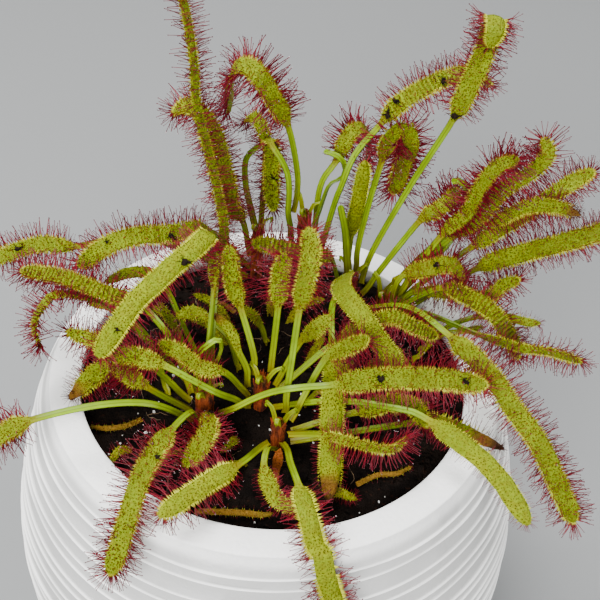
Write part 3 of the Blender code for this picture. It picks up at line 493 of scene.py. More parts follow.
# The seedlings' dry share is no withering: it dulls them with painted shade, as leaves low in the
# shade of the others.
SEEDLING_LOOK = {**PLAIN_LOOK, "long": 0.5, "red": 0.5, "few": 0.7, "dry": 0.2}
LITTER_LOOK = {**PLAIN_LOOK, "long": 0.35, "red": 0.3, "few": 0.3, "dry": 0.5}

# Shed leaves that lie on the soil: width, and the points that their midrib runs through
LITTER = (
    (1.9, (-17, -44, -3.2), (-12, -44, -2.8), (-6, -44, -2.6), (-1, -44, -3.0), (2, -43, -3.4)),
    (1.7, (-33, -16, -3.0), (-37, -19, -2.6), (-42, -20, -2.8), (-46, -19, -3.4)),
    (1.6, (22, -33, -3.2), (27, -30, -2.8), (32, -29, -3.0), (36, -26, -3.4)),
    (1.5, (-12, 26, -3.2), (-16, 29, -2.9), (-21, 30, -3.2)),
)

# Short young leaves that stand low between the crowns: width, and the points of the midrib
SPRIGS = (
    (2.4, (-12, 20, -6.0), (-15, 23, -1.5), (-19, 26, 0.5), (-24, 28, 1.0)),
    (2.6, (2, 22, -6.0), (5, 25, -1.0), (9, 28, 1.0), (13, 29, 1.0)),
    (2.2, (7, 4, -6.0), (10, 8, -0.5), (12, 12, 1.5), (13, 16, 1.5)),
    (2.4, (-2, 24, -6.0), (-2, 28, -0.5), (-1, 33, 1.5), (-2, 37, 1.5)),
    (2.6, (-26, 16, -6.0), (-30, 20, -1.0), (-35, 23, 0.0)),
    (2.2, (-35, 3, -6.0), (-39, 5, -1.0), (-44, 6, 0.0)),
    (2.2, (13, -4, -6.0), (16, -1, -1.0), (19, 2, 0.5), (21, 6, 0.5)),
    (2.4, (30, -9, -6.0), (35, -8, -1.0), (41, -7, 0.0)),
    (2.2, (-33, -24, -6.0), (-37, -28, -1.5), (-39, -33, -1.5)),
    (2.0, (-8, -18, -6.0), (-9, -23, -1.0), (-12, -28, 0.0)),
    (2.4, (12, -34, -6.0), (17, -37, -1.5), (22, -39, -1.5)),
    (2.2, (-12, 12, -6.0), (-16, 14, -0.5), (-20, 17, 1.0), (-25, 18, 1.0)),
)
SPRIG_BARE = 2.0
LOW_SPACING = 1.0
FIRST_LOW = 91
# The sprigs' dry share is painted shade too, dulling them as low shaded leaves.
SPRIG_LOOK = {**PLAIN_LOOK, "long": 0.45, "red": 0.9, "few": 0.7, "dry": 0.12}

# A thin seed stalk that stands in the soil, with its dry head
SEED_STALK = ((-24, -39, -4), (-24, -37, 0), (-23, -37, 3), (-22, -36, 5))

# Caught flies, clumps of lumps with legs. FLY_LIFT, LEG_DROP and LEG_RADII are in mm, other
# lengths are shares of a fly's size.
FLY_LIFT = 0.3
FLY_LUMPS = 7
FLY_DENT = 0.5
FLY_GIRTHS = (0.2, 0.5)
FLY_ENDS = 1.15
FLY_SPREAD = 0.9
FLY_ASIDE = 0.22
FLY_UPWARD = (-0.1, 0.25)
FLY_LENGTHS = (0.8, 1.8)
FLY_HEIGHTS = (0.5, 0.9)
FLY_SPIN = 0.9
FLY_LEGS = 6
KNEE_REACH = (0.5, 0.9)
KNEE_LIFT = (0.1, 0.5)
LEG_REACH = (1.1, 1.8)
LEG_DROP = 0.2
LEG_RADII = (0.12, 0.09, 0.05)

# Each caught fly: leaf, share along its blade, place across it from -1 to 1, size in mm
CATCH = (
    ("leaf_back_04", 0.10, 0.0, 1.5),
    ("leaf_back_04", 0.20, 0.4, 1.0),
    ("leaf_back_04", 0.55, -0.2, 1.4),
    ("leaf_right_01", 0.05, 0.2, 1.3),
    ("leaf_rear_05", 0.35, 0.3, 1.4),
    ("leaf_rear_05", 0.75, -0.3, 0.7),
    ("leaf_rear_04", 0.60, 0.0, 1.3),
    ("leaf_left_07", 0.45, 0.6, 1.6),
    ("leaf_left_07", 0.85, 0.2, 0.8),
    ("leaf_left_02", 0.30, 0.0, 1.2),
    ("leaf_left_02", 0.85, 0.1, 1.2),
    ("leaf_side_07", 0.5, 0.0, 1.4),
    ("leaf_back_02", 0.6, 0.4, 1.1),
    ("leaf_left_04", 0.25, 0.5, 0.9),
    ("leaf_left_03", 0.1, 0.4, 0.6),
)


def from_rim(x, y, z):
    """A point given in mm from the rim's middle, in metres from the foot's middle."""
    return Vector((x, y, z + POT_HEIGHT)) * MM


def wall_radius(depth):
    """Radius of the pot's outer wall, between its ridges, at a depth below the rim."""
    if depth < BELLY_DEPTH:
        share = ((BELLY_DEPTH - depth) / BELLY_DEPTH) ** SWELL
        return BELLY_RADIUS - (BELLY_RADIUS - RIM_OUTER) * share
    share = ((depth - BELLY_DEPTH) / (POT_HEIGHT - BELLY_DEPTH)) ** DRAW_IN
    return BELLY_RADIUS - (BELLY_RADIUS - FOOT_RADIUS) * share


def soil_height(x, y):
    """Height of the soil's face over the rim, lightly mounded in the middle."""
    share = min(1.0, math.hypot(x, y) / RIM_INNER)
    return -SOIL_DEPTH + SOIL_MOUND * (1 - share * share)


def smooth_route(points, spacing):
    """Points every spacing mm or so on the smooth curve through a route's points, and the
    length along it at which each of the route's points lies."""
    route = np.array(points, float)
    ends = (2 * route[0] - route[1], 2 * route[-1] - route[-2])
    padded = np.vstack((ends[0], route, ends[1]))
    share = np.linspace(0, 1, ROUTE_STEPS, endpoint=False)[:, None]
    pieces = []
    for a, b, c, d in zip(padded, padded[1:], padded[2:], padded[3:]):
        cubic = (2 * b, c - a, 2 * a - 5 * b + 4 * c - d, 3 * b - a - 3 * c + d)
        pieces.append(0.5 * sum(term * share ** k for k, term in enumerate(cubic)))
    line = np.vstack(pieces + [route[-1:]])
    steps = np.linalg.norm(np.diff(line, axis=0), axis=1)
    along = np.concatenate(((0.0,), np.cumsum(steps)))
    count = max(LEAST_POINTS, round(along[-1] / spacing) + 1)
    even = np.linspace(0, along[-1], count)
    spread = np.stack([np.interp(even, along, line[:, k]) for k in range(3)], axis=1)
    return spread, even, along[::ROUTE_STEPS]


def rise_of(leaf):
    """How steeply a leaf leaves its crown, in radians."""
    x, y, top, _ = CROWNS[leaf["crown"]]
    first = np.array(leaf["route"][0], float) - (x, y, top * 0.5)
    return math.atan2(first[2], math.hypot(first[0], first[1]))


def seat_leaves(leaves):
    """Give each leaf its seat on its crown: the steepest highest, and none on another."""
    for name, (x, y, top, radius) in CROWNS.items():
        ring = sorted((leaf for leaf in leaves if leaf["crown"] == name), key=rise_of)
        low = soil_height(x, y) + LOWEST_LEAF
        levels = np.linspace(low, top - HIGHEST_LEAF, max(2, len(ring)))
        turns = [math.atan2(leaf["route"][0][1] - y, leaf["route"][0][0] - x) for leaf in ring]
        reach = radius + SEAT_GAP + PETIOLE_WIDTH / 2
        for _ in range(SEAT_SWEEPS):
            for i, j in ((i, j) for i in range(len(ring)) for j in range(i)):
                apart = (turns[i] - turns[j] + math.pi) % math.tau - math.pi
                rise = levels[i] - levels[j]
                need = PETIOLE_WIDTH + 2 * SEAT_GAP
                short = math.sqrt(max(0.0, need * need - rise * rise)) / reach - abs(apart)
                if short > 0:
                    turns[i] += math.copysign(short / 2, apart)
                    turns[j] -= math.copysign(short / 2, apart)
        for leaf, turn, level in zip(ring, turns, levels):
            own = reach if leaf["kind"] == "grown" else radius * SEAT_SINK
            leaf["seat"] = (x + own * math.cos(turn), y + own * math.sin(turn), level)


def leaf_list():
    """Every leaf with its name, its seat on its crown and its smooth midrib."""
    counts = dict.fromkeys(CROWNS, 0)
    leaves = []
    for crown, width, blade, roll, kind, *route in LEAVES:
        counts[crown] += 1
        name = f"leaf_{crown}_{counts[crown]:02d}"
        leaves.append({"name": name, "crown": crown, "width": width, "blade": blade,
                       "roll": math.radians(roll), "kind": kind, "route": route})
    seat_leaves(leaves)
    for number, (width, blade, roll, foot, *route) in enumerate(SEEDLINGS, 1):
        leaves.append({"name": f"seedling_{number:02d}", "crown": None, "width": width,
                       "blade": blade, "roll": math.radians(roll), "kind": "seedling",
                       "route": route, "seat": foot})
    for leaf in leaves:
        points = [leaf["seat"]] + leaf["route"]
        leaf["line"], leaf["along"], knots = smooth_route(points, BEND_SPACING)
        leaf["start"] = knots[leaf["blade"]]
    bend_clear(leaves)
    return leaves


def half_girth(leaf):
    """The half-width that a leaf needs for itself at each point of its midrib."""
    narrow = np.full(len(leaf["line"]), PETIOLE_WIDTH / 2 + PETIOLE_SPARE)
    narrow[leaf["along"] > leaf["start"]] = BLADE_SHARE * leaf["width"] + BLADE_SPARE
    return narrow


def push_off_pot(points, girth):
    """What lifts points off the soil and the rim and keeps them outside the pot's wall."""
    push = np.zeros_like(points)
    for k, ((x, y, z), own) in enumerate(zip(points, girth)):
        radius = math.hypot(x, y)
        if radius < RIM_INNER - RIM_REACH:
            push[k, 2] = max(0.0, soil_height(x, y) + own + REST_GAP - z)
        elif radius < LIP_END + RIM_REACH and z > -SOIL_DEPTH:
            push[k, 2] = max(0.0, RIM_CROWN + own + REST_GAP - z)
        else:
            wall = wall_radius(max(0.0, -z)) + RIDGE_HEIGHT
            short = wall + own + WALL_GAP - radius if z < RIM_REACH else 0.0
            push[k, :2] = np.array((x, y)) / radius * max(0.0, short)
    return push


def push_off_stems(points, girth, leaf):
    """What keeps a leaf's points clear of the crowns' stems, apart from the one it is part of."""
    push = np.zeros_like(points)
    for name, (x, y, top, radius) in CROWNS.items():
        away = points[:, :2] - (x, y)
        distance = np.linalg.norm(away, axis=1)
        room = girth + CLEAR
        if name == leaf["crown"] and leaf["kind"] != "grown":
            continue
        if name == leaf["crown"]:
            room = np.where(leaf["along"] < HELD_BASE, PETIOLE_WIDTH / 2 + SEAT_GAP, room)
        short = radius + room - distance
        short[(points[:, 2] > top + STEM_SPARE) | (short < 0)] = 0
        push[:, :2] += away / np.maximum(distance, LEAST_DISTANCE)[:, None] * short[:, None]
    return push


def crowded_pairs(points, owner, girth):
    """Pairs of points on different leaves that lie closer than their leaves need."""
    tree = KDTree(len(points))
    for k, point in enumerate(points):
        tree.insert(point, k)
    tree.balance()
    widest = girth.max()
    pairs = [(k, other) for k, point in enumerate(points)
             for _, other, _ in tree.find_range(point, girth[k] + widest + CLEAR)
             if owner[other] != owner[k]]
    first, second = np.array(pairs).T
    distance = np.linalg.norm(points[first] - points[second], axis=1)
    short = girth[first] + girth[second] + CLEAR - distance
    tight = short > 0
    return first[tight], second[tight], short[tight]


def bend_clear(leaves):
    """Bend crossing leaves apart, mostly along the line of sight, until each has its room."""
    owner = np.concatenate([np.full(len(leaf["line"]), k) for k, leaf in enumerate(leaves)])
    girth = np.concatenate([half_girth(leaf) for leaf in leaves])
    in_front = np.zeros((len(leaves), len(leaves)))
    for _ in range(BEND_SWEEPS):
        points = np.vstack([leaf["line"] for leaf in leaves])
        first, second, short = crowded_pairs(points, owner, girth)
        apart = points[first] - points[second]
        depth = np.zeros_like(in_front)
        np.add.at(depth, (owner[first], owner[second]), apart @ EYE_DIRECTION)
        in_front = np.where(in_front == 0, np.sign(depth), in_front)
        sight = in_front[owner[first], owner[second]][:, None] * EYE_DIRECTION
        apart /= np.maximum(np.linalg.norm(apart, axis=1), LEAST_DISTANCE)[:, None]
        push = np.zeros_like(points)
        away = (1 - EYE_SHARE) * apart + EYE_SHARE * sight
        np.add.at(push, first, away * short[:, None] / 2)
        for k, leaf in enumerate(leaves):
            own = owner == k
            along = leaf["along"]
            total = push[own] + push_off_stems(points[own], girth[own], leaf)
            near = np.exp(-((along[:, None] - along[None, :]) / BEND_REACH) ** 2)
            spread = near @ total / near.sum(axis=1, keepdims=True) * LEAF_PUSH
            spread += push_off_pot(points[own], girth[own]) * POT_PUSH
            leaf["line"] = points[own] + spread * np.clip(along / HELD_BASE, 0, 1)[:, None]


def frames(leaf):
    """At each point of the midrib: its place, its way, its sideways and its upper side."""
    line, along = leaf["line"], leaf["along"]
    ways = np.gradient(line, axis=0)
    ways /= np.linalg.norm(ways, axis=1)[:, None]
    middle = leaf["start"] + FACING_SHARE * (along[-1] - leaf["start"])
    middle = int(np.searchsorted(along, middle))
    side = np.cross(FACING, ways[middle])
    if np.linalg.norm(side) < LEAST_SIDE:
        side = np.array((-1.0, 0.0, 0.0))
    sides = np.zeros_like(line)
    for order in (range(middle, len(line)), range(middle, -1, -1)):
        carried = side
        for k in order:
            carried = carried - (carried @ ways[k]) * ways[k]
            carried /= np.linalg.norm(carried)
            sides[k] = carried
    uppers = np.cross(ways, sides)
    cos, sin = math.cos(leaf["roll"]), math.sin(leaf["roll"])
    return line, ways, sides * cos + uppers * sin, uppers * cos - sides * sin


def colour_value(name, description, default):
    """A colour in a group of values."""
    return FloatVectorProperty(name=name, description=description, subtype="COLOR", size=3,
                               default=default, min=0.0, max=1.0)


def length_value(name, description, default, low, high):
    """A length in a group of values, given in mm."""
    return FloatProperty(name=name, description=description, default=default * MM,
                         min=low * MM, max=high * MM, unit="LENGTH")


class PotLooks(bpy.types.PropertyGroup):
    """Sizes and colours of the pot"""

    glaze: colour_value("Clay", "Colour of the matt ceramic", (0.90, 0.895, 0.87))
    ridge_height: length_value("Ridge height", "How far a ridge stands out", 0.8, 0, 2)
    ridge_pitch: length_value("Ridge spacing", "Mean distance from one ridge to the next",
                              4.1, 2, 10)


class StageLooks(bpy.types.PropertyGroup):
    """The floor and the studio light"""

    floor: colour_value("Floor", "Colour of the floor", (0.235, 0.24, 0.24))
    power: FloatProperty(name="Power", description="Power of the soft lights",
                         default=24.0, min=0.0, max=200.0, unit="POWER")
    fill: FloatProperty(name="Fill", description="Strength of the light from all round",
                        default=0.34, min=0.0, max=4.0)


class SoilLooks(bpy.types.PropertyGroup):
    """What the soil is made of"""

    peat: colour_value("Peat", "Colour of the damp peat", (0.0035, 0.0022, 0.0016))
    clods: IntProperty(name="Clods", description="Number of loose crumbs of peat",
                       default=1500, min=0, max=6000)
    grains: IntProperty(name="Grains", description="Number of white mineral grains",
                        default=110, min=0, max=1000)


class LeafLooks(bpy.types.PropertyGroup):
    """Sizes and colours of the leaves and their tentacles"""

    blade: colour_value("Blade", "Colour of the blade", (0.205, 0.272, 0.001))
    petiole: colour_value("Petiole", "Colour of the petiole", (0.175, 0.285, 0.002))
    tentacle: colour_value("Tentacle", "Colour of the tentacles' stalks", (0.125, 0.002, 0.009))
    gland: colour_value("Gland", "Colour of the tentacles' heads", (0.07, 0.002, 0.008))
    tentacle_length: length_value("Tentacle length", "Length of a tentacle on a blade's edge",
                                  4.7, 1, 8)
    tentacle_step: length_value("Tentacle spacing", "Distance between tentacles along an edge",
                                0.60, 0.4, 4)


def looks(name):
    """One of the scene's groups of values."""
    return getattr(bpy.context.scene, "sundew_" + name)


def add_object(name, data):
    """A new object in the scene."""
    made = bpy.data.objects.new(name, data)
    bpy.context.scene.collection.objects.link(made)
    return made


def to_mesh(bm, name):
    """A mesh made from a bmesh, which is freed."""
    mesh = bpy.data.meshes.new(name)
    bm.to_mesh(mesh)
    bm.free()
    return mesh


def merge(bm, other):
    """Add a bmesh to another one and free it."""
    mesh = to_mesh(other, "merged")
    bm.from_mesh(mesh)
    bpy.data.meshes.remove(mesh)


def finish_piece(bm, name, slot, *nodes, materials=(), angle=60):
    """A bmesh as a finished piece of the plant: on its body, for its node. Its slot is not used."""
    mesh = to_mesh(bm, name)
    for made in materials:
        mesh.materials.append(made)
    mesh.shade_smooth()
    mesh.set_sharp_from_angle(angle=math.radians(angle))
    piece = add_object(name, mesh)
    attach(piece, BODY)
    if nodes:
        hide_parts(*nodes)


def scaled(colour, level):
    """A lighter or darker shade of a colour."""
    return tuple(min(1.0, part * level) for part in colour)


def opaque(colour):
    """A colour with its alpha. A link stays as it is."""
    return colour if isinstance(colour, bpy.types.NodeSocket) else (*colour, 1.0)


class Nodes:
    """A shader's node tree, with short calls for the nodes that the materials use. They take
    numbers, colours or links and give links."""

    def __init__(self, tree):
        self.tree = tree

    def wire(self, node, sockets):
        """Set or link a node's sockets, by name or number."""
        for key, given in sockets.items():
            if isinstance(given, bpy.types.NodeSocket):
                self.tree.links.new(given, node.inputs[key])
            else:
                node.inputs[key].default_value = given

    def add(self, kind, sockets, **settings):
        """The outputs of a new node."""
        made = self.tree.nodes.new("ShaderNode" + kind)
        for name, value in settings.items():
            setattr(made, name, value)
        self.wire(made, sockets)
        return made.outputs

    def value(self, name):
        """A number that the piece's points carry."""
        return self.add("Attribute", {}, attribute_name=name)["Fac"]

    def place(self):
        """Where a point lies on its object."""
        return self.add("TexCoord", {})["Object"]

    def math(self, operation, first, second=0.0):
        """Two numbers reckoned together."""
        return self.add("Math", {0: first, 1: second}, operation=operation)[0]

    def times(self, first, second):
        """Two numbers multiplied."""
        return self.math("MULTIPLY", first, second)

    def plus(self, first, second):
        """Two numbers added."""
        return self.math("ADD", first, second)

    def rise(self, source, low, high):
        """How far a value has come from low to high, from 0 to 1."""
        return self.add("MapRange", {"Value": source, "From Min": low, "From Max": high},
                        interpolation_type="SMOOTHSTEP")["Result"]

    def blend(self, factor, first, second):
        """Two colours mixed."""
        return self.add("Mix", {0: factor, 6: opaque(first), 7: opaque(second)},
                        data_type="RGBA")[2]

    def cloud(self, place, scale, detail):
        """Soft noise."""
        return self.add("TexNoise", {"Vector": place, "Scale": scale, "Detail": detail})["Fac"]

    def mottle(self, place, patch_scale, grain_scale):
        """Large soft patches and fine grain over a surface, as two masks."""
        made = self.add("Group", {}, node_tree=mottle_group())
        node = made["Patches"].node
        self.wire(node, {"Vector": place, "Patch Scale": patch_scale, "Grain Scale": grain_scale})
        return made["Patches"], made["Grain"]


def mottle_group():
    """The group that all materials share: two clouds of noise, each spread to a mask."""
    found = bpy.data.node_groups.get("mottle")
    if found:
        return found
    group = bpy.data.node_groups.new("mottle", "ShaderNodeTree")
    for way, names in (("INPUT", ("Vector", "Patch Scale", "Grain Scale")),
                       ("OUTPUT", ("Patches", "Grain"))):
        for name in names:
            kind = "NodeSocketVector" if name == "Vector" else "NodeSocketFloat"
            group.interface.new_socket(name, in_out=way, socket_type=kind)
    inside = group.nodes.new("NodeGroupInput").outputs
    outside = group.nodes.new("NodeGroupOutput")
    nodes = Nodes(group)
    for scale, mask, detail in (("Patch Scale", "Patches", 2.0), ("Grain Scale", "Grain", 3.0)):
        cloud = nodes.add("TexNoise", {"Vector": inside["Vector"], "Scale": inside[scale],
                                       "Detail": detail, "Roughness": 0.6})
        nodes.wire(outside, {mask: nodes.rise(cloud["Fac"], 0.3, 0.7)})
    return group


class Finish(Nodes):
    """A material in the making."""

    def __init__(self, name, roughness, colour):
        self.material = bpy.data.materials.new(name)
        self.material.use_nodes = True
        self.material.diffuse_color = opaque(colour)
        super().__init__(self.material.node_tree)
        self.shader = self.tree.nodes["Principled BSDF"]
        self.wire(self.shader, {"Roughness": roughness, "Base Color": opaque(colour)})

    def done(self, tone, relief=None, depth=0.0, sockets=()):
        """The material with its colour, its relief and other sockets of its shader."""
        self.wire(self.shader, {"Base Color": tone, **dict(sockets)})
        if relief:
            bump = self.add("Bump", {"Height": relief, "Distance": depth, "Strength": 1.0})
            self.wire(self.shader, {"Normal": bump["Normal"]})
        return self.material


def mottled(name, roughness, colour, scales, dark, light, depth=None, sockets=()):
    """A plain material whose colour drifts from a dark to a light one."""
    finish = Finish(name, roughness, colour)
    patches, grain = finish.mottle(finish.place(), *scales)
    relief = grain if depth else None
    return finish.done(finish.blend(patches, dark, light), relief, depth, sockets)


def ceramic():
    """Off-white matt clay body with a fine grit, painted highlight on its lip and ridge crests,
    painted shade on the flats, and a few soil stains.
    """
    colour = looks("pot").glaze
    clay = Finish("matt ceramic", 0.52, colour)
    place = clay.place()
    patches, grain = clay.mottle(place, 28.0, 900.0)
    # Painted shade: the clay is painted darker than its own colour in soft patches, so the flats
    # between the lighter crests look shaded.
    patchy = clay.blend(patches, scaled(colour, 0.55), scaled(colour, 0.62))
    # Painted highlight: the lip and the ridge crests are painted lighter than the clay's own
    # colour, as if lit from above.
    painted_highlight = clay.rise(clay.value("painted_highlight"), 0.15, 0.75)
    tone = clay.blend(painted_highlight, patchy, scaled(colour, 1.10))
    tone = clay.blend(clay.times(grain, 0.10), tone, scaled(colour, 0.72))
    specks = clay.add("TexVoronoi", {"Vector": place, "Scale": 260.0})["Distance"]
    rare = clay.rise(clay.cloud(place, 60.0, 2.0), 0.60, 0.72)
    stain = clay.times(clay.rise(specks, 0.10, 0.04), rare)
    tone = clay.blend(clay.times(stain, 0.7), tone, (0.18, 0.12, 0.08))
    rough = clay.add("MapRange", {"Value": patches, "To Min": 0.44, "To Max": 0.62})["Result"]
    return clay.done(tone, grain, 0.00006, {"Roughness": rough})


def peat():
    """Damp peat: nearly black brown crumbs with paler fibres."""
    colour = looks("soil").peat
    soil = Finish("damp peat", 0.95, colour)
    place = soil.place()
    patches, grain = soil.mottle(place, 140.0, 1400.0)
    tone = soil.blend(patches, scaled(colour, 0.6), scaled(colour, 2.6))
    fibre = soil.rise(soil.cloud(place, 700.0, 2.0), 0.62, 0.74)
    tone = soil.blend(soil.times(fibre, 0.4), tone, (0.035, 0.012, 0.006))
    return soil.done(tone, grain, 0.0004, {"Specular IOR Level": 0.06})


def mineral():
    """White mineral grains."""
    return mottled("mineral grain", 0.7, (0.75, 0.73, 0.68), (400.0, 2500.0),
                   (0.50, 0.47, 0.42), (0.86, 0.85, 0.81), 0.0002)


def straw():
    """Dry brown fibres and dead leaf scraps."""
    return mottled("dry fibre", 0.8, (0.16, 0.09, 0.045), (300.0, 1800.0),
                   (0.045, 0.020, 0.010), (0.22, 0.13, 0.06), 0.0002)


def insect():
    """Dark dry remains of small flies."""
    return mottled("caught fly", 0.8, (0.006, 0.004, 0.003), (900.0, 3000.0),
                   (0.002, 0.0015, 0.001), (0.016, 0.008, 0.004), 0.0001,
                   {"Specular IOR Level": 0.1})


def gland():
    """The tentacles' wet heads."""
    colour = looks("leaf").gland
    return mottled("gland", 0.18, colour, (300.0, 2000.0), scaled(colour, 0.6),
                   scaled(colour, 1.6), sockets={"Coat Weight": 0.5, "Coat Roughness": 0.08})


def bark():
    """Red-brown fibrous skin of the crowns."""
    skin = Finish("crown skin", 0.8, (0.16, 0.045, 0.015))
    place = skin.add("Mapping", {"Vector": skin.place(), "Scale": (1.0, 1.0, 0.18)})["Vector"]
    patches, grain = skin.mottle(place, 700.0, 1500.0)
    tone = skin.blend(patches, (0.03, 0.005, 0.003), (0.30, 0.055, 0.010))
    tone = skin.blend(skin.value("along"), tone, (0.16, 0.10, 0.006))
    return skin.done(tone, grain, 0.0004, {"Specular IOR Level": 0.15})


def leaf_skin():
    """Green leaf tissue: smooth petiole, rough speckled blade, brown where it has died; painted
    shade in the petiole's groove and edges, near the foot and on low young leaves.
    """
    values = looks("leaf")
    skin = Finish("leaf", 0.42, values.blade)
    place = skin.place()
    along = skin.value("along")
    across = skin.value("across")
    own = skin.value("own")
    surface = skin.add("CombineXYZ", {"X": skin.plus(skin.times(along, 0.8), own), "Y": across,
                                      "Z": own})["Vector"]
    patches, grain = skin.mottle(place, 150.0, 1500.0)
    blade_share = skin.rise(along, -2.5, 3.0)

    # The petiole, with painted shade in its groove and at its edges
    stem_tone = skin.blend(patches, scaled(values.petiole, 0.8), scaled(values.petiole, 1.15))
    off = skin.math("ABSOLUTE", across)
    # Painted shade: a dark line down the groove and dark edges, as where light falls off a grooved
    # strap.
    for mask in (skin.times(skin.rise(off, 0.20, 0.04), 0.7), skin.rise(off, 0.58, 0.80)):
        stem_tone = skin.blend(mask, stem_tone, scaled(values.petiole, 0.5))

    # The blade: its two sides, then worn places, pits between the tentacles and cross ribs
    tone = skin.blend(patches, scaled(values.blade, 0.72), scaled(values.blade, 1.12))
    under = skin.blend(patches, scaled(values.blade, 0.85), (0.25, 0.30, 0.001))
    tone = skin.blend(skin.rise(skin.value("upper"), 0.35, 0.65), under, tone)
    patchy = skin.rise(skin.cloud(surface, 0.9, 3.0), 0.42, 0.62)
    tone = skin.blend(skin.times(patchy, 0.45), tone, (0.15, 0.14, 0.001))
    pits = skin.add("TexVoronoi", {"Vector": surface, "Scale": 1.5, "Randomness": 0.9},
                    voronoi_dimensions="2D")
    dots = skin.times(skin.rise(pits["Distance"], 0.27, 0.11), blade_share)
    dots = skin.times(dots, skin.plus(skin.times(patches, 0.6), 0.4))
    tone = skin.blend(skin.times(dots, 0.95), tone, (0.035, 0.032, 0.001))
    ribs = skin.add("TexWave", {"Vector": surface, "Scale": 0.33, "Distortion": 3.2,
                                "Detail": 2.0, "Detail Scale": 1.4})["Fac"]
    ribbed = skin.value("ribs")
    furrow = skin.times(skin.rise(ribs, 0.45, 0.05), ribbed)
    tone = skin.blend(skin.times(furrow, 0.7), tone, (0.10, 0.045, 0.004))

    # Both together, flushed red at the base, where the flush is also painted shade, and withered at
    # dead tips
    tone = skin.blend(blade_share, stem_tone, tone)
    # Red flush at the neck and the foot; near the foot it is also painted shade.
    tone = skin.blend(skin.times(skin.value("flush_and_shade"), 0.95), tone, (0.22, 0.045, 0.006))
    dry = skin.cloud(place, 420.0, 3.0)
    # On seedlings and sprigs the dead value is painted shade rather than withering, so this amber
    # tint is painted shade there.
    edge = skin.plus(skin.value("dead"), skin.times(dry, 0.3))
    amber = skin.blend(dry, (0.10, 0.036, 0.004), (0.24, 0.12, 0.008))
    burnt = skin.blend(dry, (0.012, 0.004, 0.002), (0.07, 0.024, 0.005))
    tone = skin.blend(skin.rise(edge, 0.30, 0.75), tone, amber)
    tone = skin.blend(skin.rise(edge, 0.90, 1.10), tone, burnt)

    height = skin.math("SUBTRACT", skin.times(ribs, ribbed), skin.times(dots, 0.6))
    height = skin.times(skin.plus(height, skin.times(grain, 0.5)), blade_share)
    return skin.done(tone, height, 0.0006, {
        "Roughness": skin.plus(skin.times(blade_share, 0.20), 0.34),
        "Specular IOR Level": 0.14, "Subsurface Weight": 0.08,
        "Subsurface Radius": (0.8, 1.0, 0.02), "Subsurface Scale": 0.0006})


def stalk():
    """Tentacle stalks: cream at the root, crimson to wine above."""
    values = looks("leaf")
    skin = Finish("tentacle stalk", 0.5, values.tentacle)
    way = skin.value("tip")
    reach = skin.plus(way, skin.times(skin.value("red"), 0.22))
    crimson = skin.blend(skin.value("own"), scaled(values.tentacle, 0.45),
                         scaled(values.tentacle, 1.5))
    crimson = skin.blend(skin.rise(way, 0.55, 1.0), crimson, scaled(values.gland, 1.8))
    tone = skin.blend(skin.rise(reach, 0.28, 0.48), (0.42, 0.43, 0.02), crimson)
    tone = skin.blend(skin.rise(skin.value("dead"), 0.4, 0.7), tone, (0.06, 0.015, 0.008))
    return skin.done(tone, sockets={
        "Specular IOR Level": 0.15, "Subsurface Weight": 0.06,
        "Subsurface Radius": (1.0, 0.2, 0.2), "Subsurface Scale": 0.0003})


def look_of(leaf):
    """How a leaf looks, with the plain look for what its entry leaves out."""
    plain = SEEDLING_LOOK if leaf["kind"] == "seedling" else PLAIN_LOOK
    return {**plain, **LEAF_LOOKS.get(leaf["name"], {})}


@functools.lru_cache(maxsize=1)
def grown_leaves():
    """The leaves' lines, worked out once for all the pieces that follow them."""
    leaves = leaf_list()
    for number, leaf in enumerate(leaves):
        look = look_of(leaf)
        rng = random.Random(SEED + number)
        leaf.update(number=number, rng=rng, look=look, face=-1 if look["flip"] else 1,
                    neck=rng.uniform(0.2, 1.0), end=float(leaf["along"][-1]))
        leaf["start"] += look["late"]
        leaf["width"] *= look["wide"]
        leaf["rows"] = frames(leaf)
    return leaves


def own_leaf(route, spacing, **values):
    """A leaf that follows its own route, without being bent clear of others."""
    line, along, _ = smooth_route(route, spacing)
    leaf = {"line": line, "along": along, "end": float(along[-1]), "roll": 0.0, "face": 1,
            "crown": None, **values}
    leaf["rows"] = frames(leaf)
    return leaf


def low_leaves():
    """The shed leaves on the soil and the short young ones, as leaves of their own."""
    rows = [(row, LITTER_LOOK, 0.0) for row in LITTER]
    rows += [(row, SPRIG_LOOK, SPRIG_BARE) for row in SPRIGS]
    return [own_leaf(route, LOW_SPACING, name=f"low_{number}", kind="low", width=width,
                     start=start, number=number, neck=1.0, look=look,
                     rng=random.Random(SEED + number))
            for number, ((width, *route), look, start) in enumerate(rows, FIRST_LOW)]


def smooth_share(value):
    """A share from 0 to 1 that starts and ends gently."""
    value = min(1.0, max(0.0, value))
    return value * value * (3 - 2 * value)


def opened_share(leaf, length):
    """How far the petiole has widened into the blade at a length along a leaf."""
    return smooth_share((length - leaf["start"]) / TAPER_IN) if leaf["kind"] != "bud" else 0.0


def rounded(share, least):
    """How wide a round end still is at a share of its length from the tip."""
    return math.sqrt(max(least, 1 - max(0.0, 1 - share) ** 2))


def leaf_girth(leaf, length):
    """Width and thickness of a leaf at a length along it, in mm."""
    left = leaf["end"] - length
    if leaf["kind"] == "bud":
        thin = 1 - BUD_TAPER * length / leaf["end"]
        width = leaf["width"] * thin * rounded(left, BUD_LEAST)
        return width, width * BUD_FLATNESS
    opened = opened_share(leaf, length)
    width = PETIOLE_WIDTH + (leaf["width"] - PETIOLE_WIDTH) * opened
    thick = PETIOLE_THICK + (BLADE_BODY - PETIOLE_THICK) * opened
    thinned = 1 - THIN_END + THIN_END * min(1.0, left / TAPER_OUT)
    return width * rounded(left / TAPER_OUT, BLADE_LEAST), thick * thinned


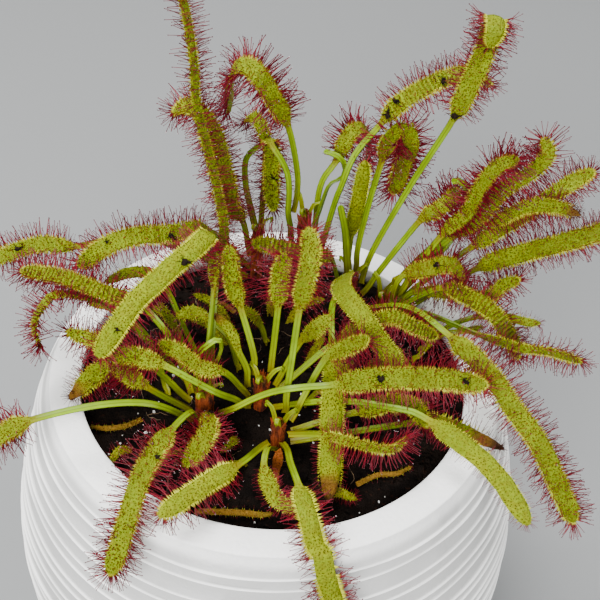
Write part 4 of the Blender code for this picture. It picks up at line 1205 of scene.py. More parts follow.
def leaf_stations(leaf):
    """Lengths along a leaf at which its rings lie, closer on the blade and at the tip."""
    full = leaf["end"] - ROUND_END
    bare = full if leaf["kind"] == "bud" else leaf["start"]
    petiole = np.linspace(0, bare, max(3, round(bare / PETIOLE_RING)), endpoint=False)
    middle = np.linspace(bare, full, max(2, round((full - bare) / BLADE_RING)), endpoint=False)
    tip = full + ROUND_END * np.sin(np.linspace(0, math.pi / 2, ROUND_RINGS))
    return np.concatenate((petiole, middle, tip))


def cup_height(width, across):
    """How far a blade's cupped face lies from its midrib's plane, in mm."""
    return CAMBER * width * (across * across - CUP_LEVEL)


def leaf_section(leaf, length, angle, width, thick):
    """Across and upward offsets of a leaf's skin at an angle round its section, in mm."""
    across, rise = (math.copysign(abs(part) ** SQUARENESS, part)
                    for part in (math.cos(angle), math.sin(angle)))
    opened = opened_share(leaf, length)
    groove = PETIOLE_GROOVE * (1 - across * across) * (1 - opened) if rise > 0 else 0.0
    upward = rise * thick / 2 * (1 - groove) * (1 - EDGE_THIN * opened * across * across)
    cup = cup_height(width, across) * leaf["face"]
    seed = leaf["number"] * OWN_NOISE
    coarse, fine = WAVE_GRAIN
    wave = noise.noise((length * coarse, across * fine + seed, seed)) * EDGE_WAVE * width
    coarse, fine = PIT_GRAIN
    pitted = noise.noise((length * coarse, across * fine * width + seed, seed)) * PIT_DEPTH
    lift = upward + opened * (cup + wave * abs(across) ** 3 + pitted * abs(rise))
    wander = EDGE_WANDER * noise.noise((length * WANDER_GRAIN,
                                        math.copysign(WANDER_SEED, across), seed))
    return across * width / 2 * (1 + opened * wander), lift


def extruded(bm, edges):
    """The new points and edges of a loop of edges after it is extruded in place."""
    made = bmesh.ops.extrude_edge_only(bm, edges=edges)["geom"]
    ring = [item for item in made if isinstance(item, bmesh.types.BMVert)]
    fresh = set(ring)
    return ring, [item for item in made if isinstance(item, bmesh.types.BMEdge)
                  and item.verts[0] in fresh and item.verts[1] in fresh]


def new_skin():
    """A bmesh with the values that the leaf materials read."""
    bm = bmesh.new()
    bm.verts.layers.int.new("place")
    for name in SKIN_VALUES:
        bm.verts.layers.float.new(name)
    return bm


def ring_tube(rings, sides):
    """A closed tube of rings, still without size: its bmesh and the points of each ring."""
    bm = new_skin()
    place = bm.verts.layers.int["place"]
    ring = bmesh.ops.create_circle(bm, segments=sides, radius=0.001)["verts"]
    for number, vert in enumerate(ring):
        vert[place] = number
    made = [ring]
    first = edges = bm.edges[:]
    for _ in range(rings - 1):
        ring, edges = extruded(bm, edges)
        made.append(sorted(ring, key=lambda vert: vert[place]))
    for loop in (first, edges):
        bmesh.ops.contextual_create(bm, geom=loop)
    return bm, made


def skin_values(leaf, length):
    """How far a leaf is dead and how far it is flushed at a length along it; near its foot the
    flush is red and also painted shade.
    """
    look = leaf["look"]
    edge = leaf["end"] - look["dead"] * (leaf["end"] - leaf["start"])
    dead = smooth_share((length - edge) / WITHER_LENGTH + 0.5) if look["dead"] > 0 else 0.0
    neck = NECK_SHARE * math.exp(-((length - leaf["start"]) / NECK_FLUSH) ** 2) * leaf["neck"]
    # Red flush at the foot that also stands for painted shade, fading up the petiole.
    base = BASE_FLUSH_AND_SHADE_SHARE * math.exp(-length / BASE_FLUSH_AND_SHADE)
    flush_and_shade = max(0.0 if leaf["kind"] == "bud" else neck, base, look["brown"])
    # The dry share, painted shade on seedlings and sprigs, is returned with the dead share.
    return max(dead, look["dry"]), flush_and_shade


def at_length(leaf, length):
    """A leaf's midrib at a length: its place, its way, its sideways and its upper side."""
    return [np.array([np.interp(length, leaf["along"], row[:, k]) for k in range(3)])
            for row in leaf["rows"]]


def strap(leaf):
    """The petiole and blade of one leaf as a closed skin."""
    stations = leaf_stations(leaf)
    bm, rings = ring_tube(len(stations), LEAF_SIDES)
    spots = [at_length(leaf, length) for length in stations]
    steps = np.linalg.norm(np.diff([spot[0] for spot in spots], axis=0), axis=1)
    bent = np.concatenate(((0.0,), np.cumsum(steps)))
    bent -= np.interp(leaf["start"], stations, bent)
    layers = {name: bm.verts.layers.float[name] for name in SKIN_VALUES}
    for length, (middle, _, side, upper), true_length, ring in zip(stations, spots, bent, rings):
        width, thick = leaf_girth(leaf, length)
        dead, flush_and_shade = skin_values(leaf, length)
        for number, vert in enumerate(ring):
            angle = math.tau * number / LEAF_SIDES
            across, lift = leaf_section(leaf, length, angle, width, thick)
            lift += dead * WRINKLE * noise.noise((length * WRINKLE_GRAIN, across * WRINKLE_GRAIN,
                                                  leaf["number"]))
            out = side * across * (1 - WITHER_SHRINK * dead)
            vert.co = from_rim(*(middle + out + upper * lift))
            values = {"along": NO_BLADE if leaf["kind"] == "bud" else true_length, "across": across,
                      "ribs": leaf["look"]["ribs"], "dead": dead, "flush_and_shade": flush_and_shade,
                      "upper": 0.5 + 0.5 * math.sin(angle) * leaf["face"],
                      "own": leaf["number"] * OWN_PATTERN}
            for name, value in values.items():
                vert[layers[name]] = value
    bmesh.ops.recalc_face_normals(bm, faces=bm.faces)
    bm.verts.index_update()
    return bm


def stalk_radius(root, tip, share):
    """Radius of a tentacle's stalk: a broad root that thins out fast."""
    return tip + (root - tip) * (1 - share) ** ROOT_FLARE


def arc_point(length, bend, share):
    """A point at a share of an arc that starts along Z and bends towards X."""
    radius = length / bend
    turn = bend * share
    return Vector((radius * (1 - math.cos(turn)), 0, radius * math.sin(turn)))


def tentacle_form(length, bend, root, tip, head, shares):
    """One tentacle standing on Z, in mm, as a mesh to copy: tapered stalk and round head."""
    bm = bmesh.new()
    way = bm.verts.layers.float.new("tip")
    bmesh.ops.create_circle(bm, segments=3, radius=root)
    edges = bm.edges[:]
    for before, share in zip(shares, shares[1:]):
        ring, edges = extruded(bm, edges)
        thin = stalk_radius(root, tip, share) / stalk_radius(root, tip, before)
        bmesh.ops.translate(bm, verts=ring, vec=-arc_point(length, bend, before))
        bmesh.ops.scale(bm, verts=ring, vec=(thin, thin, 1.0))
        bmesh.ops.translate(bm, verts=ring, vec=arc_point(length, bend, share))
        for vert in ring:
            vert[way] = share
    top = Matrix.Translation(arc_point(length, bend, 1.0)) @ Matrix.Rotation(bend, 4, "Y")
    top = top @ Matrix.Diagonal((1.0, 1.0, HEAD_STRETCH, 1.0))
    ball = bmesh.ops.create_uvsphere(bm, u_segments=4, v_segments=2, radius=head, matrix=top)
    for vert in ball["verts"]:
        vert[way] = 1.0
        for face in vert.link_faces:
            face.material_index = 2
    for face in bm.faces:
        face.smooth = True
        face.material_index = max(1, face.material_index)
    return to_mesh(bm, "tentacle_form")


def tentacle_forms():
    """The tentacles to copy: long ones for the edges, short ones for the blade's face."""
    length = looks("leaf").tentacle_length / MM
    return {"edge": [tentacle_form(length, bend, *EDGE_FORM) for bend in EDGE_BENDS],
            "face": [tentacle_form(FACE_LENGTH, bend, *FACE_FORM) for bend in FACE_BENDS]}


def walls_tree(skins):
    """One search tree over all leaves, stems, the soil and the pot, and whose each face is."""
    shapes = [(name, bm.verts, [[vert.index for vert in face.verts] for face in bm.faces])
              for name, bm in skins.items()]
    for name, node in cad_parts.items():
        if not name.startswith("leaf"):
            mesh = node.data
            shapes.append((name, mesh.vertices, [face.vertices for face in mesh.polygons]))
    corners, faces, owners = [], [], []
    for name, points, loops in shapes:
        first = len(corners)
        corners.extend(point.co.copy() for point in points)
        faces.extend([first + number for number in loop] for loop in loops)
        owners.extend([name] * len(loops))
    return BVHTree.FromPolygons(corners, faces), owners


def free_share(name, root, way, length, tree, owners):
    """How much of a tentacle's length is free before it meets another piece."""
    reach = (length + SEARCH_SPARE) * MM
    _, _, face, distance = tree.ray_cast(from_rim(*root), Vector(way).normalized(), reach)
    if face is None or owners[face] == name:
        return 1.0
    return (distance / MM - TOUCH_GAP) / length


def share_in_box(root, way, length):
    """How much of a tentacle's length lies inside the box of the solids."""
    heading = Vector(way).normalized() * (length + BOX_SPARE) * MM
    share = 1.0
    for start, step, low, high in zip(from_rim(*root), heading, *CAD_BOX):
        room = (high if step > 0 else low) - start
        if abs(step) > abs(room):
            share = min(share, room / step)
    return share


def edge_tentacles(leaf):
    """Length along the leaf, root, way, lean and size of each tentacle at the edges and tip."""
    rng = leaf["rng"]
    face = leaf["face"]
    step = looks("leaf").tentacle_step / MM / leaf["look"]["few"]
    for row, (inset, low, high, scale) in enumerate(EDGE_ROWS):
        length = leaf["start"] + EDGE_START + row * step / len(EDGE_ROWS)
        while length < leaf["end"] - EDGE_STOP:
            for turn in (-1, 1):
                at = length + rng.uniform(-EDGE_JITTER, EDGE_JITTER) * step
                width, thick = leaf_girth(leaf, at)
                middle, ahead, side, upper = at_length(leaf, at)
                side, upper = side * turn, upper * face
                out = width / 2 - ROOT_SINK - inset * width
                root = middle + side * out + upper * inset * thick
                past = at - leaf["start"]
                fanned = LEAN_TURN * (past / (leaf["end"] - leaf["start"]) - LEAN_LEVEL)
                lean = ahead * (rng.gauss(0.0, LEAN_SPREAD) + fanned)
                lift = rng.uniform(low, high)
                way = side * math.cos(lift) + upper * math.sin(lift) + lean
                young = min(1.0, YOUNG_SIZE + past / YOUNG_REACH)
                yield at, root, way, upper, rng.uniform(*EDGE_SIZES) * scale * young
            length += step
    middle, ahead, side, upper = (row[-1] for row in leaf["rows"])
    upper = upper * face
    width = leaf_girth(leaf, leaf["end"] - TAPER_OUT)[0]
    for _ in range(TIP_TENTACLES):
        angle = math.radians(rng.uniform(-TIP_SPREAD, TIP_SPREAD))
        out = math.cos(angle) * ahead + math.sin(angle) * side
        root = middle - ahead * TIP_INSET + out * width * TIP_REACH
        way = out + upper * rng.uniform(*TIP_LIFT)
        yield leaf["end"], root, way, upper, rng.uniform(*TIP_SIZES)


def face_tentacles(leaf):
    """The same for the short tentacles that stand on the blade's upper face."""
    rng = leaf["rng"]
    blade = leaf["end"] - leaf["start"]
    for _ in range(int(blade * leaf["width"] * FACE_DENSITY * leaf["look"]["few"])):
        at = leaf["start"] + FACE_MARGIN + rng.random() * (blade - 2 * FACE_MARGIN)
        width, thick = leaf_girth(leaf, at)
        across = rng.uniform(-FACE_SPREAD, FACE_SPREAD)
        middle, ahead, side, upper = at_length(leaf, at)
        upper = upper * leaf["face"]
        rise = thick * FACE_SINK + cup_height(width, across)
        root = middle + side * across * width / 2 + upper * rise
        tilt = side * rng.gauss(across * FACE_SPLAY, FACE_LEAN) + ahead * rng.gauss(0, FACE_LEAN)
        yield at, root, upper + tilt, side, rng.uniform(*FACE_SIZES)


def plant_tentacle(bm, form, root, way, lean, size, **values):
    """Copy a tentacle form to its root, turned to its way and bent towards its lean."""
    up = Vector(way).normalized()
    bent = Vector(lean)
    bent = (bent - bent.dot(up) * up).normalized()
    turn = Matrix((bent, up.cross(bent), up)).transposed().to_4x4()
    place = Matrix.Translation(from_rim(*root)) @ turn @ Matrix.Scale(size * MM, 4)
    given = [(bm.verts.layers.float[name], value) for name, value in values.items()]
    before = len(bm.verts)
    bm.from_mesh(form, face_normals=False)
    bm.verts.ensure_lookup_table()
    for vert in bm.verts[before:]:
        vert.co = place @ vert.co
        for layer, value in given:
            vert[layer] = value


def fringe(bm, leaf, forms, tree, owners):
    """Both kinds of tentacles of one leaf. Long ones are cut short, or left out, where another
    piece is near."""
    rng = leaf["rng"]
    look = leaf["look"]
    full = looks("leaf").tentacle_length / MM
    for at, root, way, lean, size in edge_tentacles(leaf):
        dead = skin_values(leaf, at)[0]
        size *= look["long"] * (1 - DEAD_SHRINK * dead)
        share = min(free_share(leaf["name"], root, way, full * size, tree, owners),
                    share_in_box(root, way, full * size))
        if share > LEAST_SHARE:
            plant_tentacle(bm, rng.choice(forms["edge"]), root, way, lean, size * min(1.0, share),
                           red=look["red"], dead=dead, own=rng.random())
    kind, scale = ("edge", SHAG_SIZE) if look["shag"] else ("face", 1.0)
    for at, root, way, lean, size in face_tentacles(leaf):
        plant_tentacle(bm, rng.choice(forms[kind]), root, way, lean, size * scale,
                       red=look["red"], dead=skin_values(leaf, at)[0], own=rng.random())


def build_leaves():
    """Every fringed leaf: petiole and blade, long tentacles at its edges, short ones on it."""
    leaves = [leaf for leaf in grown_leaves() if leaf["kind"] != "bud"] + low_leaves()
    skins = {leaf["name"]: strap(leaf) for leaf in leaves}
    tree, owners = walls_tree(skins)
    forms = tentacle_forms()
    finishes = (leaf_skin(), stalk(), gland())
    young = new_skin()
    for leaf in leaves:
        bm = skins[leaf["name"]]
        fringe(bm, leaf, forms, tree, owners)
        if leaf["kind"] in ("seedling", "low"):
            merge(young, bm)
        else:
            finish_piece(bm, "grown_" + leaf["name"], "leaf", leaf["name"], materials=finishes)
    finish_piece(young, "seedlings", "leaf", materials=finishes)
    for mesh in forms["edge"] + forms["face"]:
        bpy.data.meshes.remove(mesh)


def turned(profile, sides):
    """A closed solid turned from a profile of radius and height, both ends on the axis."""
    bm = bmesh.new()
    line = [bm.verts.new(from_rim(radius, 0, height)) for radius, height in profile]
    edges = [bm.edges.new(pair) for pair in zip(line, line[1:])]
    bmesh.ops.spin(bm, geom=line + edges, cent=(0, 0, 0), axis=(0, 0, 1), dvec=(0, 0, 0),
                   angle=math.tau, steps=sides, use_merge=True)
    bmesh.ops.remove_doubles(bm, verts=bm.verts, dist=1e-6)
    bmesh.ops.recalc_face_normals(bm, faces=bm.faces)
    return bm


def ridge_depths():
    """Depths of the ridges below the rim, unevenly spaced as on a hand-ribbed wall."""
    pitch = looks("pot").ridge_pitch / MM
    depths = []
    depth = RIDGE_TOP
    while depth < RIDGE_END:
        depths.append(depth)
        depth += pitch * RIDGE_RHYTHM[len(depths) % len(RIDGE_RHYTHM)]
    return depths


def inner_wall():
    """Radius and depth of the pot's inner wall, from under its lip down to its floor."""
    fall = POT_HEIGHT - FLOOR - LIP_DEPTH
    depths = [LIP_DEPTH + fall * k / INNER_STEPS for k in range(INNER_STEPS + 1)]
    return [(min(wall_radius(depth) - WALL, RIM_INNER + (depth - LIP_DEPTH) * INNER_SPREAD), depth)
            for depth in depths]


def pot_profile():
    """Foot, wall with points for a ridge at each depth, domed lip, inner wall and floor."""
    foot = POT_HEIGHT - FOOT_BEVEL
    outside = [(0, -POT_HEIGHT), (FOOT_FLAT, -POT_HEIGHT)]
    for k in range(FOOT_CORNER + 1):
        turn = math.pi / 2 * k / FOOT_CORNER
        outside.append((FOOT_RADIUS - FOOT_BEVEL + FOOT_BEVEL * math.sin(turn),
                        -foot - FOOT_BEVEL * math.cos(turn)))
    depths = [depth + step for depth in ridge_depths() for step in RIDGE_STEPS]
    lower = np.linspace(foot, depths[-1], LOWER_RINGS, endpoint=False)[1:]
    outside += [(wall_radius(depth), -depth) for depth in (*lower, *depths[::-1])]
    middle = (RIM_INNER + LIP_END) / 2
    for k in range(LIP_STEPS + 1):
        turn = math.pi * (k / LIP_STEPS)
        radius = middle + (LIP_END - RIM_INNER) / 2 * math.cos(turn)
        outside.append((radius, RIM_CROWN * math.sin(turn) ** LIP_ROUNDNESS))
    inside = [(radius, -depth) for radius, depth in inner_wall()]
    return outside + [(RIM_INNER, -LIP_EDGE)] + inside + [(0, FLOOR - POT_HEIGHT)]


def raise_ridges(bm):
    """Lift the ridges out of the wall, a little higher here and lower there."""
    height = looks("pot").ridge_height / MM
    depths = ridge_depths()
    # The painted highlight of the lip and crests, kept with each point for the clay's colour.
    pale = bm.verts.layers.float.new("painted_highlight")
    for vert in bm.verts:
        depth = POT_HEIGHT - vert.co.z / MM
        radius = math.hypot(vert.co.x, vert.co.y) / MM
        nearest = min(depths, key=lambda other: abs(other - depth))
        off = abs(nearest - depth)
        # Painted highlight on the lip, fading out below it.
        vert[pale] = 1.0 - smooth_share((depth - LIP_HIGHLIGHT_START) / LIP_HIGHLIGHT_FADE)
        if off > RIDGE_HALF or abs(radius - wall_radius(depth)) > RIDGE_SLACK or depth < LIP_EDGE:
            continue
        around = Vector((vert.co.x, vert.co.y, 0)).normalized()
        across, down = RIDGE_UNEVEN_GRAIN
        uneven = noise.noise(around * across + Vector((0, 0, nearest * down)))
        across, down = RIDGE_WANDER_GRAIN
        place = around * across + Vector((0, 0, nearest * down + RIDGE_WANDER_SEED))
        wander = noise.noise(place)
        round_top = max(0.0, math.cos(off / RIDGE_HALF * math.pi / 2)) ** RIDGE_ROUNDNESS
        share = (RIDGE_EVEN + RIDGE_UNEVEN * uneven) * round_top
        vert.co += around * height * share * MM
        # Painted highlight on the ridge's crest, as strong as the ridge stands out.
        vert[pale] = max(vert[pale], share)
        vert.co.z += wander * RIDGE_WANDER * MM


def build_pot():
    """The ribbed pot, turned in one piece."""
    bm = turned(pot_profile(), POT_SEGMENTS)
    raise_ridges(bm)
    finish_piece(bm, "ribbed_pot", "pot", "pot", materials=(ceramic(),), angle=50)


def soil_profile():
    """The soil bed's underside, side and top, as radius and height."""
    bottom = GAP + FLOOR - POT_HEIGHT
    side = [(radius - 2 * GAP, -max(depth, SOIL_DEPTH + SOIL_EDGE))
            for radius, depth in inner_wall()]
    side[-1] = (side[-1][0], bottom)
    radii = [(RIM_INNER - GAP) * (1 - k / SOIL_RINGS) for k in range(SOIL_RINGS + 1)]
    return [(0, bottom)] + side[::-1] + [(radius, soil_height(radius, 0)) for radius in radii]


def soil_rise(x, y):
    """How far crumbs and hollows lift the soil's face at a place, in mm."""
    rough = noise.fractal(Vector((x * SOIL_GRAIN, y * SOIL_GRAIN, 3.0)), *SOIL_FRACTAL)
    fade = min(1.0, (RIM_INNER - GAP - math.hypot(x, y)) / SOIL_FADE)
    return rough * SOIL_ROUGHNESS * fade


def strewn(rng, margin):
    """A random place on the soil that keeps a margin from the pot's wall."""
    reach = (RIM_INNER - margin) * math.sqrt(rng.random())
    turn = rng.uniform(0, math.tau)
    return reach * math.cos(turn), reach * math.sin(turn)


def peat_top(x, y):
    """Height of the rough soil's face over the rim."""
    return soil_height(x, y) + soil_rise(x, y)


def build_soil():
    """The bed of peat with its crumbs, its white grains and its fibres."""
    rng = random.Random(SEED)
    bed = turned(soil_profile(), SOIL_SEGMENTS)
    for vert in bed.verts:
        if vert.co.z / MM - POT_HEIGHT > -SOIL_DEPTH - SOIL_SLACK:
            vert.co.z += soil_rise(vert.co.x / MM, vert.co.y / MM) * MM
    finish_piece(bed, "peat_bed", "soil", "soil", materials=(peat(),))
    scattered("peat_crumbs", looks("soil").clods, CLOD_SIZES, CLOD_DENT, peat(), rng)
    scattered("mineral_grains", looks("soil").grains, GRAIN_SIZES, GRAIN_DENT, mineral(), rng)
    fibres(rng)


def scattered(name, count, sizes, uneven, finish, rng):
    """Irregular lumps of one kind strewn over the soil, half sunk in it, as one piece."""
    low, high = sizes
    bm = bmesh.new()
    for _ in range(count):
        x, y = strewn(rng, LUMP_MARGIN)
        size = low + (high - low) * rng.random() ** LUMP_RARITY
        middle = from_rim(x, y, peat_top(x, y) + size * LUMP_LIFT)
        spin = Matrix.Rotation(rng.uniform(0, math.tau), 4, Vector((rng.random(), rng.random(), 1)))
        width, height = size * rng.uniform(*LUMP_WIDTHS), size * rng.uniform(*LUMP_HEIGHTS)
        shape = Matrix.Diagonal((size, width, height, 1))
        place = Matrix.Translation(middle) @ spin @ Matrix.Scale(MM, 4) @ shape
        made = bmesh.ops.create_icosphere(bm, subdivisions=1, radius=1.0, matrix=place)
        for vert in made["verts"]:
            vert.co = middle + (vert.co - middle) * rng.uniform(1 - uneven, 1 + uneven * 0.5)
    finish_piece(bm, name, "soil", materials=(finish,), angle=30)


def thread(bm, points, radii, sides=4):
    """A thin closed tube through a few points, in mm from the rim, with a radius at each."""
    held, rings = ring_tube(len(points), sides)
    points = [Vector(point) for point in points]
    for k, ring in enumerate(rings):
        way = (points[min(k + 1, len(points) - 1)] - points[max(k - 1, 0)]).normalized()
        side = way.orthogonal().normalized()
        for number, vert in enumerate(ring):
            turn = math.tau * number / sides
            off = side * math.cos(turn) + way.cross(side) * math.sin(turn)
            vert.co = from_rim(*(points[k] + off * radii[k]))
    bmesh.ops.recalc_face_normals(held, faces=held.faces)
    merge(bm, held)


def fibres(rng):
    """Dry root and moss fibres that lie on the peat, and a seed stalk with its dry head."""
    bm = bmesh.new()
    for _ in range(FIBRE_COUNT):
        x, y = strewn(rng, FIBRE_MARGIN)
        heading = rng.uniform(0, math.tau)
        points = []
        for _ in FIBRE_RADII:
            points.append((x, y, peat_top(x, y) + rng.uniform(*FIBRE_LIFT)))
            heading += rng.gauss(0, FIBRE_TURN)
            x += math.cos(heading) * FIBRE_STEP
            y += math.sin(heading) * FIBRE_STEP
        thread(bm, points, FIBRE_RADII)
    thread(bm, SEED_STALK, SEED_RADII, 6)
    for _ in range(SEED_HEADS):
        spot = Vector(SEED_STALK[-1]) + Vector([rng.gauss(0, SEED_SPREAD) for _ in range(3)])
        end = spot + Vector([rng.gauss(0, SEED_SPREAD) for _ in range(3)])
        thread(bm, [spot, end], SEED_HEAD_RADII, 5)
    finish_piece(bm, "dry_fibres", "soil", materials=(straw(),))


def crown_stem(bm, name, rng):
    """A crown's stem: an uneven fibrous stub ringed by the bases of shed leaves."""
    x, y, top, radius = CROWNS[name]
    heights = np.linspace(soil_height(x, y) - SOIL_HOLE + GAP, top, STEM_RINGS)
    held, rings = ring_tube(STEM_RINGS, STEM_SEGMENTS)
    along = held.verts.layers.float["along"]
    narrow = (1.0,) * (STEM_RINGS - len(STEM_TIP)) + STEM_TIP
    around, upward = STEM_GRAIN
    for height, share, ring in zip(heights, narrow, rings):
        for number, vert in enumerate(ring):
            turn = math.tau * number / STEM_SEGMENTS
            rough = noise.noise((math.cos(turn) * around + x, math.sin(turn) * around + y,
                                 height * upward))
            reach = radius * share * (STEM_EVEN + STEM_ROUGH * rough)
            vert.co = from_rim(x + reach * math.cos(turn), y + reach * math.sin(turn), height)
            vert[along] = smooth_share((height - top + GREEN_TOP) / GREEN_TOP) * GREEN_SHARE
    bmesh.ops.recalc_face_normals(held, faces=held.faces)
    merge(bm, held)
    level = soil_height(x, y) + STUB_START
    while level < top - STUB_STOP:
        turn = rng.uniform(0, math.tau)
        out = Vector((math.cos(turn), math.sin(turn), 0))
        foot = Vector((x, y, level)) + out * radius * STUB_FOOT
        reach = rng.uniform(*STUB_REACH)
        lift = rng.uniform(*STUB_LIFT)
        points = [foot, foot + out * reach * 0.5 + Vector((0, 0, lift * 0.4)),
                  foot + out * reach + Vector((0, 0, lift))]
        thread(bm, points, STUB_RADII, 5)
        level += STUB_STEP * rng.uniform(*STUB_UNEVEN)


def crozier(name, number, rng):
    """A tiny leaf still coiled over a crown, as a leaf of its own."""
    x, y, top, radius = CROWNS[name]
    turn = number * CROZIER_TURN + rng.uniform(-CROZIER_JITTER, CROZIER_JITTER)
    out = np.array((math.cos(turn), math.sin(turn), 0.0))
    rise = np.array((0.0, 0.0, 1.0))
    height = rng.uniform(*CROZIER_HEIGHTS)
    reach = rng.uniform(*CROZIER_REACHES) * height
    coil = rng.uniform(*CROZIER_RADII)
    foot = np.array((x, y, top - CROZIER_SINK)) + out * radius * CROZIER_FOOT
    neck = foot + out * reach + rise * height
    route = [foot, foot + out * reach * 0.5 + rise * height * 0.6, neck]
    for angle in CROZIER_COIL:
        route.append(neck + out * coil * (1 - math.cos(angle)) + rise * coil * math.sin(angle))
    return own_leaf(route, CROZIER_SPACING, name="crozier", kind="bud", start=1.0,
                    width=rng.uniform(*CROZIER_WIDTHS), number=number, neck=0.0, look=PLAIN_LOOK)


def build_crowns():
    """Each crown's stem with its bare buds and its youngest, still coiled leaves."""
    finishes = (leaf_skin(), stalk(), gland(), bark())
    for name in CROWNS:
        rng = random.Random(SEED + len(name))
        bm = new_skin()
        buds = [leaf for leaf in grown_leaves() if leaf["crown"] == name and leaf["kind"] == "bud"]
        for leaf in buds + [crozier(name, number, rng) for number in range(CROZIERS)]:
            merge(bm, strap(leaf))
        leafy = len(bm.faces)
        crown_stem(bm, name, rng)
        bm.faces.ensure_lookup_table()
        for face in bm.faces[leafy:]:
            face.material_index = len(finishes) - 1
        finish_piece(bm, "grown_crown_" + name, "crown", "crown_" + name, materials=finishes)


def midge(bm, leaf, share, across, size, rng):
    """One caught fly on the side of a leaf that is seen: a clump of dark lumps and its legs."""
    at = leaf["start"] + share * (leaf["end"] - leaf["start"])
    width, thick = leaf_girth(leaf, at)
    middle, way, side, upper = (Vector(row) for row in at_length(leaf, at))
    upper *= 1 if upper.dot(Vector(EYE_DIRECTION)) < 0 else -1
    middle = middle + side * across * width / 2 + upper * (thick / 2 + FLY_LIFT)
    turn = rng.uniform(0, math.tau)
    heading = way * math.cos(turn) + side * math.sin(turn)
    beside = upper.cross(heading)
    for _ in range(FLY_LUMPS):
        step = rng.uniform(-1.0, 1.0)
        girth = rng.uniform(*FLY_GIRTHS) * (FLY_ENDS - abs(step))
        spot = middle + heading * step * size * FLY_SPREAD
        spot += beside * rng.gauss(0, FLY_ASIDE) * size + upper * rng.uniform(*FLY_UPWARD) * size
        shape = Matrix.Diagonal((girth * rng.uniform(*FLY_LENGTHS) * size, girth * size,
                                 girth * rng.uniform(*FLY_HEIGHTS) * size, 1))
        spin = Matrix.Rotation(rng.uniform(-FLY_SPIN, FLY_SPIN), 4, "Z")
        basis = Matrix((heading, beside, upper)).transposed().to_4x4() @ spin
        centre = from_rim(*spot)
        place = Matrix.Translation(centre) @ basis @ Matrix.Scale(MM, 4) @ shape
        made = bmesh.ops.create_icosphere(bm, subdivisions=2, radius=1.0, matrix=place)
        for vert in made["verts"]:
            dent = noise.noise((vert.co - centre) / MM * 2.2 + Vector((step * 9, size, 0)))
            vert.co = centre + (vert.co - centre) * (1 + FLY_DENT * dent)
    for _ in range(FLY_LEGS):
        angle = rng.uniform(0, math.tau)
        out = (heading * math.cos(angle) + beside * math.sin(angle)) * size
        knee = middle + out * rng.uniform(*KNEE_REACH) + upper * rng.uniform(*KNEE_LIFT) * size
        foot = middle + out * rng.uniform(*LEG_REACH) - upper * LEG_DROP
        thread(bm, [middle, knee, foot], LEG_RADII)


def build_midges():
    """The remains of the plant's catch, dark on its leaves."""
    rng = random.Random(SEED)
    leaves = {leaf["name"]: leaf for leaf in grown_leaves()}
    bm = bmesh.new()
    for name, share, across, size in CATCH:
        midge(bm, leaves[name], share, across, size, rng)
    finish_piece(bm, "caught_flies", "leaf", materials=(insect(),))


def build_stage():
    """A plain pale floor, soft lights, a pale backdrop and the photograph's camera."""
    values = looks("stage")
    bm = bmesh.new()
    bmesh.ops.create_grid(bm, x_segments=2, y_segments=2, size=FLOOR_SIZE)
    mesh = to_mesh(bm, "floor")
    mesh.materials.append(mottled("pale floor", 0.8, values.floor, (3.0, 300.0),
                                  scaled(values.floor, 0.98), scaled(values.floor, 1.0)))
    plane = add_object("floor", mesh)
    plane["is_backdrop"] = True

    backdrop = bpy.data.worlds.new("studio")
    backdrop.use_nodes = True
    glow = backdrop.node_tree.nodes["Background"]
    glow.inputs["Color"].default_value = (0.93, 0.96, 1.0, 1.0)
    glow.inputs["Strength"].default_value = values.fill
    bpy.context.scene.world = backdrop

    for name, place, size, share in SOFTBOXES:
        light = bpy.data.lights.new(name, "AREA")
        light.shape = "DISK"
        light.size = size
        light.energy = share * values.power
        lamp = add_object(name, light)
        lamp.location = place
        lamp.rotation_euler = (Vector(LIT) - lamp.location).to_track_quat("-Z", "Y").to_euler()
    camera()


def camera():
    """The photograph's viewpoint: steeply down over the rim, with a slight lean."""
    forward = (Vector(AIM) - Vector(EYE)).normalized()
    right = forward.cross(Vector((0, 0, 1))).normalized()
    up = right.cross(forward)
    lean = math.radians(LEAN)
    leaned_right = right * math.cos(lean) + up * math.sin(lean)
    leaned_up = up * math.cos(lean) - right * math.sin(lean)
    lens = bpy.data.cameras.new("camera")
    lens.lens = LENS
    lens.clip_start = 0.01
    viewer = add_object("camera", lens)
    turn = Matrix((leaned_right, leaned_up, -forward)).transposed().to_4x4()
    viewer.matrix_world = Matrix.Translation(EYE) @ turn
    bpy.context.scene.camera = viewer


class SUNDEW_OT_stage(bpy.types.Operator):
    """Add the floor, the soft lights and the camera"""

    bl_idname = "sundew.stage"
    bl_label = "Stage"

    def execute(self, context):
        build_stage()
        return {"FINISHED"}


class SUNDEW_OT_pot(bpy.types.Operator):
    """Turn the ribbed ceramic pot"""

    bl_idname = "sundew.pot"
    bl_label = "Pot"

    def execute(self, context):
        build_pot()
        return {"FINISHED"}


class SUNDEW_OT_soil(bpy.types.Operator):
    """Fill the pot with peat, crumbs, grains and fibres"""

    bl_idname = "sundew.soil"
    bl_label = "Soil"

    def execute(self, context):
        build_soil()
        return {"FINISHED"}


class SUNDEW_OT_crowns(bpy.types.Operator):
    """Grow the stems with their youngest leaves"""

    bl_idname = "sundew.crowns"
    bl_label = "Crowns"

    def execute(self, context):
        build_crowns()
        return {"FINISHED"}


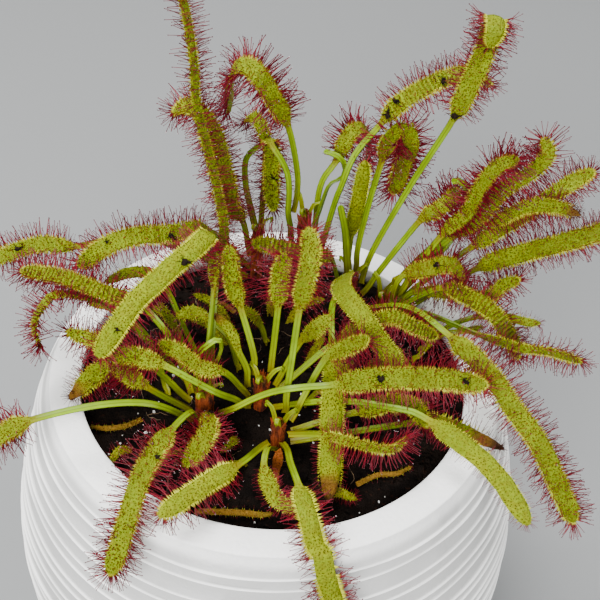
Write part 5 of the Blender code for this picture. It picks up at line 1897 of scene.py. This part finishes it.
class SUNDEW_OT_leaves(bpy.types.Operator):
    """Grow the leaves with their tentacles"""

    bl_idname = "sundew.leaves"
    bl_label = "Leaves"

    def execute(self, context):
        build_leaves()
        return {"FINISHED"}


class SUNDEW_OT_midges(bpy.types.Operator):
    """Lay the caught flies on the leaves"""

    bl_idname = "sundew.midges"
    bl_label = "Caught Flies"

    def execute(self, context):
        build_midges()
        return {"FINISHED"}


class SUNDEW_PT_panel(bpy.types.Panel):
    """Lists the pieces of the plant and their values"""

    bl_idname = "SUNDEW_PT_panel"
    bl_label = "Potted Sundew"
    bl_space_type = "VIEW_3D"
    bl_region_type = "UI"
    bl_category = "Sundew"

    def draw(self, context):
        for operator in OPERATORS:
            self.layout.operator(operator.bl_idname)
        for name in GROUPS:
            values = looks(name)
            column = self.layout.column(heading=name.title())
            for key in values.__annotations__:
                column.prop(values, key)


OPERATORS = (SUNDEW_OT_stage, SUNDEW_OT_pot, SUNDEW_OT_soil, SUNDEW_OT_crowns, SUNDEW_OT_leaves,
             SUNDEW_OT_midges)
GROUPS = {"pot": PotLooks, "soil": SoilLooks, "leaf": LeafLooks, "stage": StageLooks}


def register():
    """Add the classes and the scene's groups of values."""
    for made in (*GROUPS.values(), *OPERATORS, SUNDEW_PT_panel):
        bpy.utils.register_class(made)
    for name, group in GROUPS.items():
        setattr(bpy.types.Scene, "sundew_" + name, PointerProperty(type=group))


def unregister():
    """Take them away again."""
    for name in GROUPS:
        delattr(bpy.types.Scene, "sundew_" + name)
    for made in (SUNDEW_PT_panel, *OPERATORS[::-1], *list(GROUPS.values())[::-1]):
        bpy.utils.unregister_class(made)


def main():
    """Build every piece in order."""
    register()
    bpy.ops.sundew.stage()
    bpy.ops.sundew.pot()
    bpy.ops.sundew.soil()
    bpy.ops.sundew.crowns()
    bpy.ops.sundew.leaves()
    bpy.ops.sundew.midges()
    boxes = {"cad": CAD_BOX, "visual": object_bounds()}
    {name: [list(corner) for corner in box] for name, box in boxes.items()}


if __name__ == "__main__":
    main()
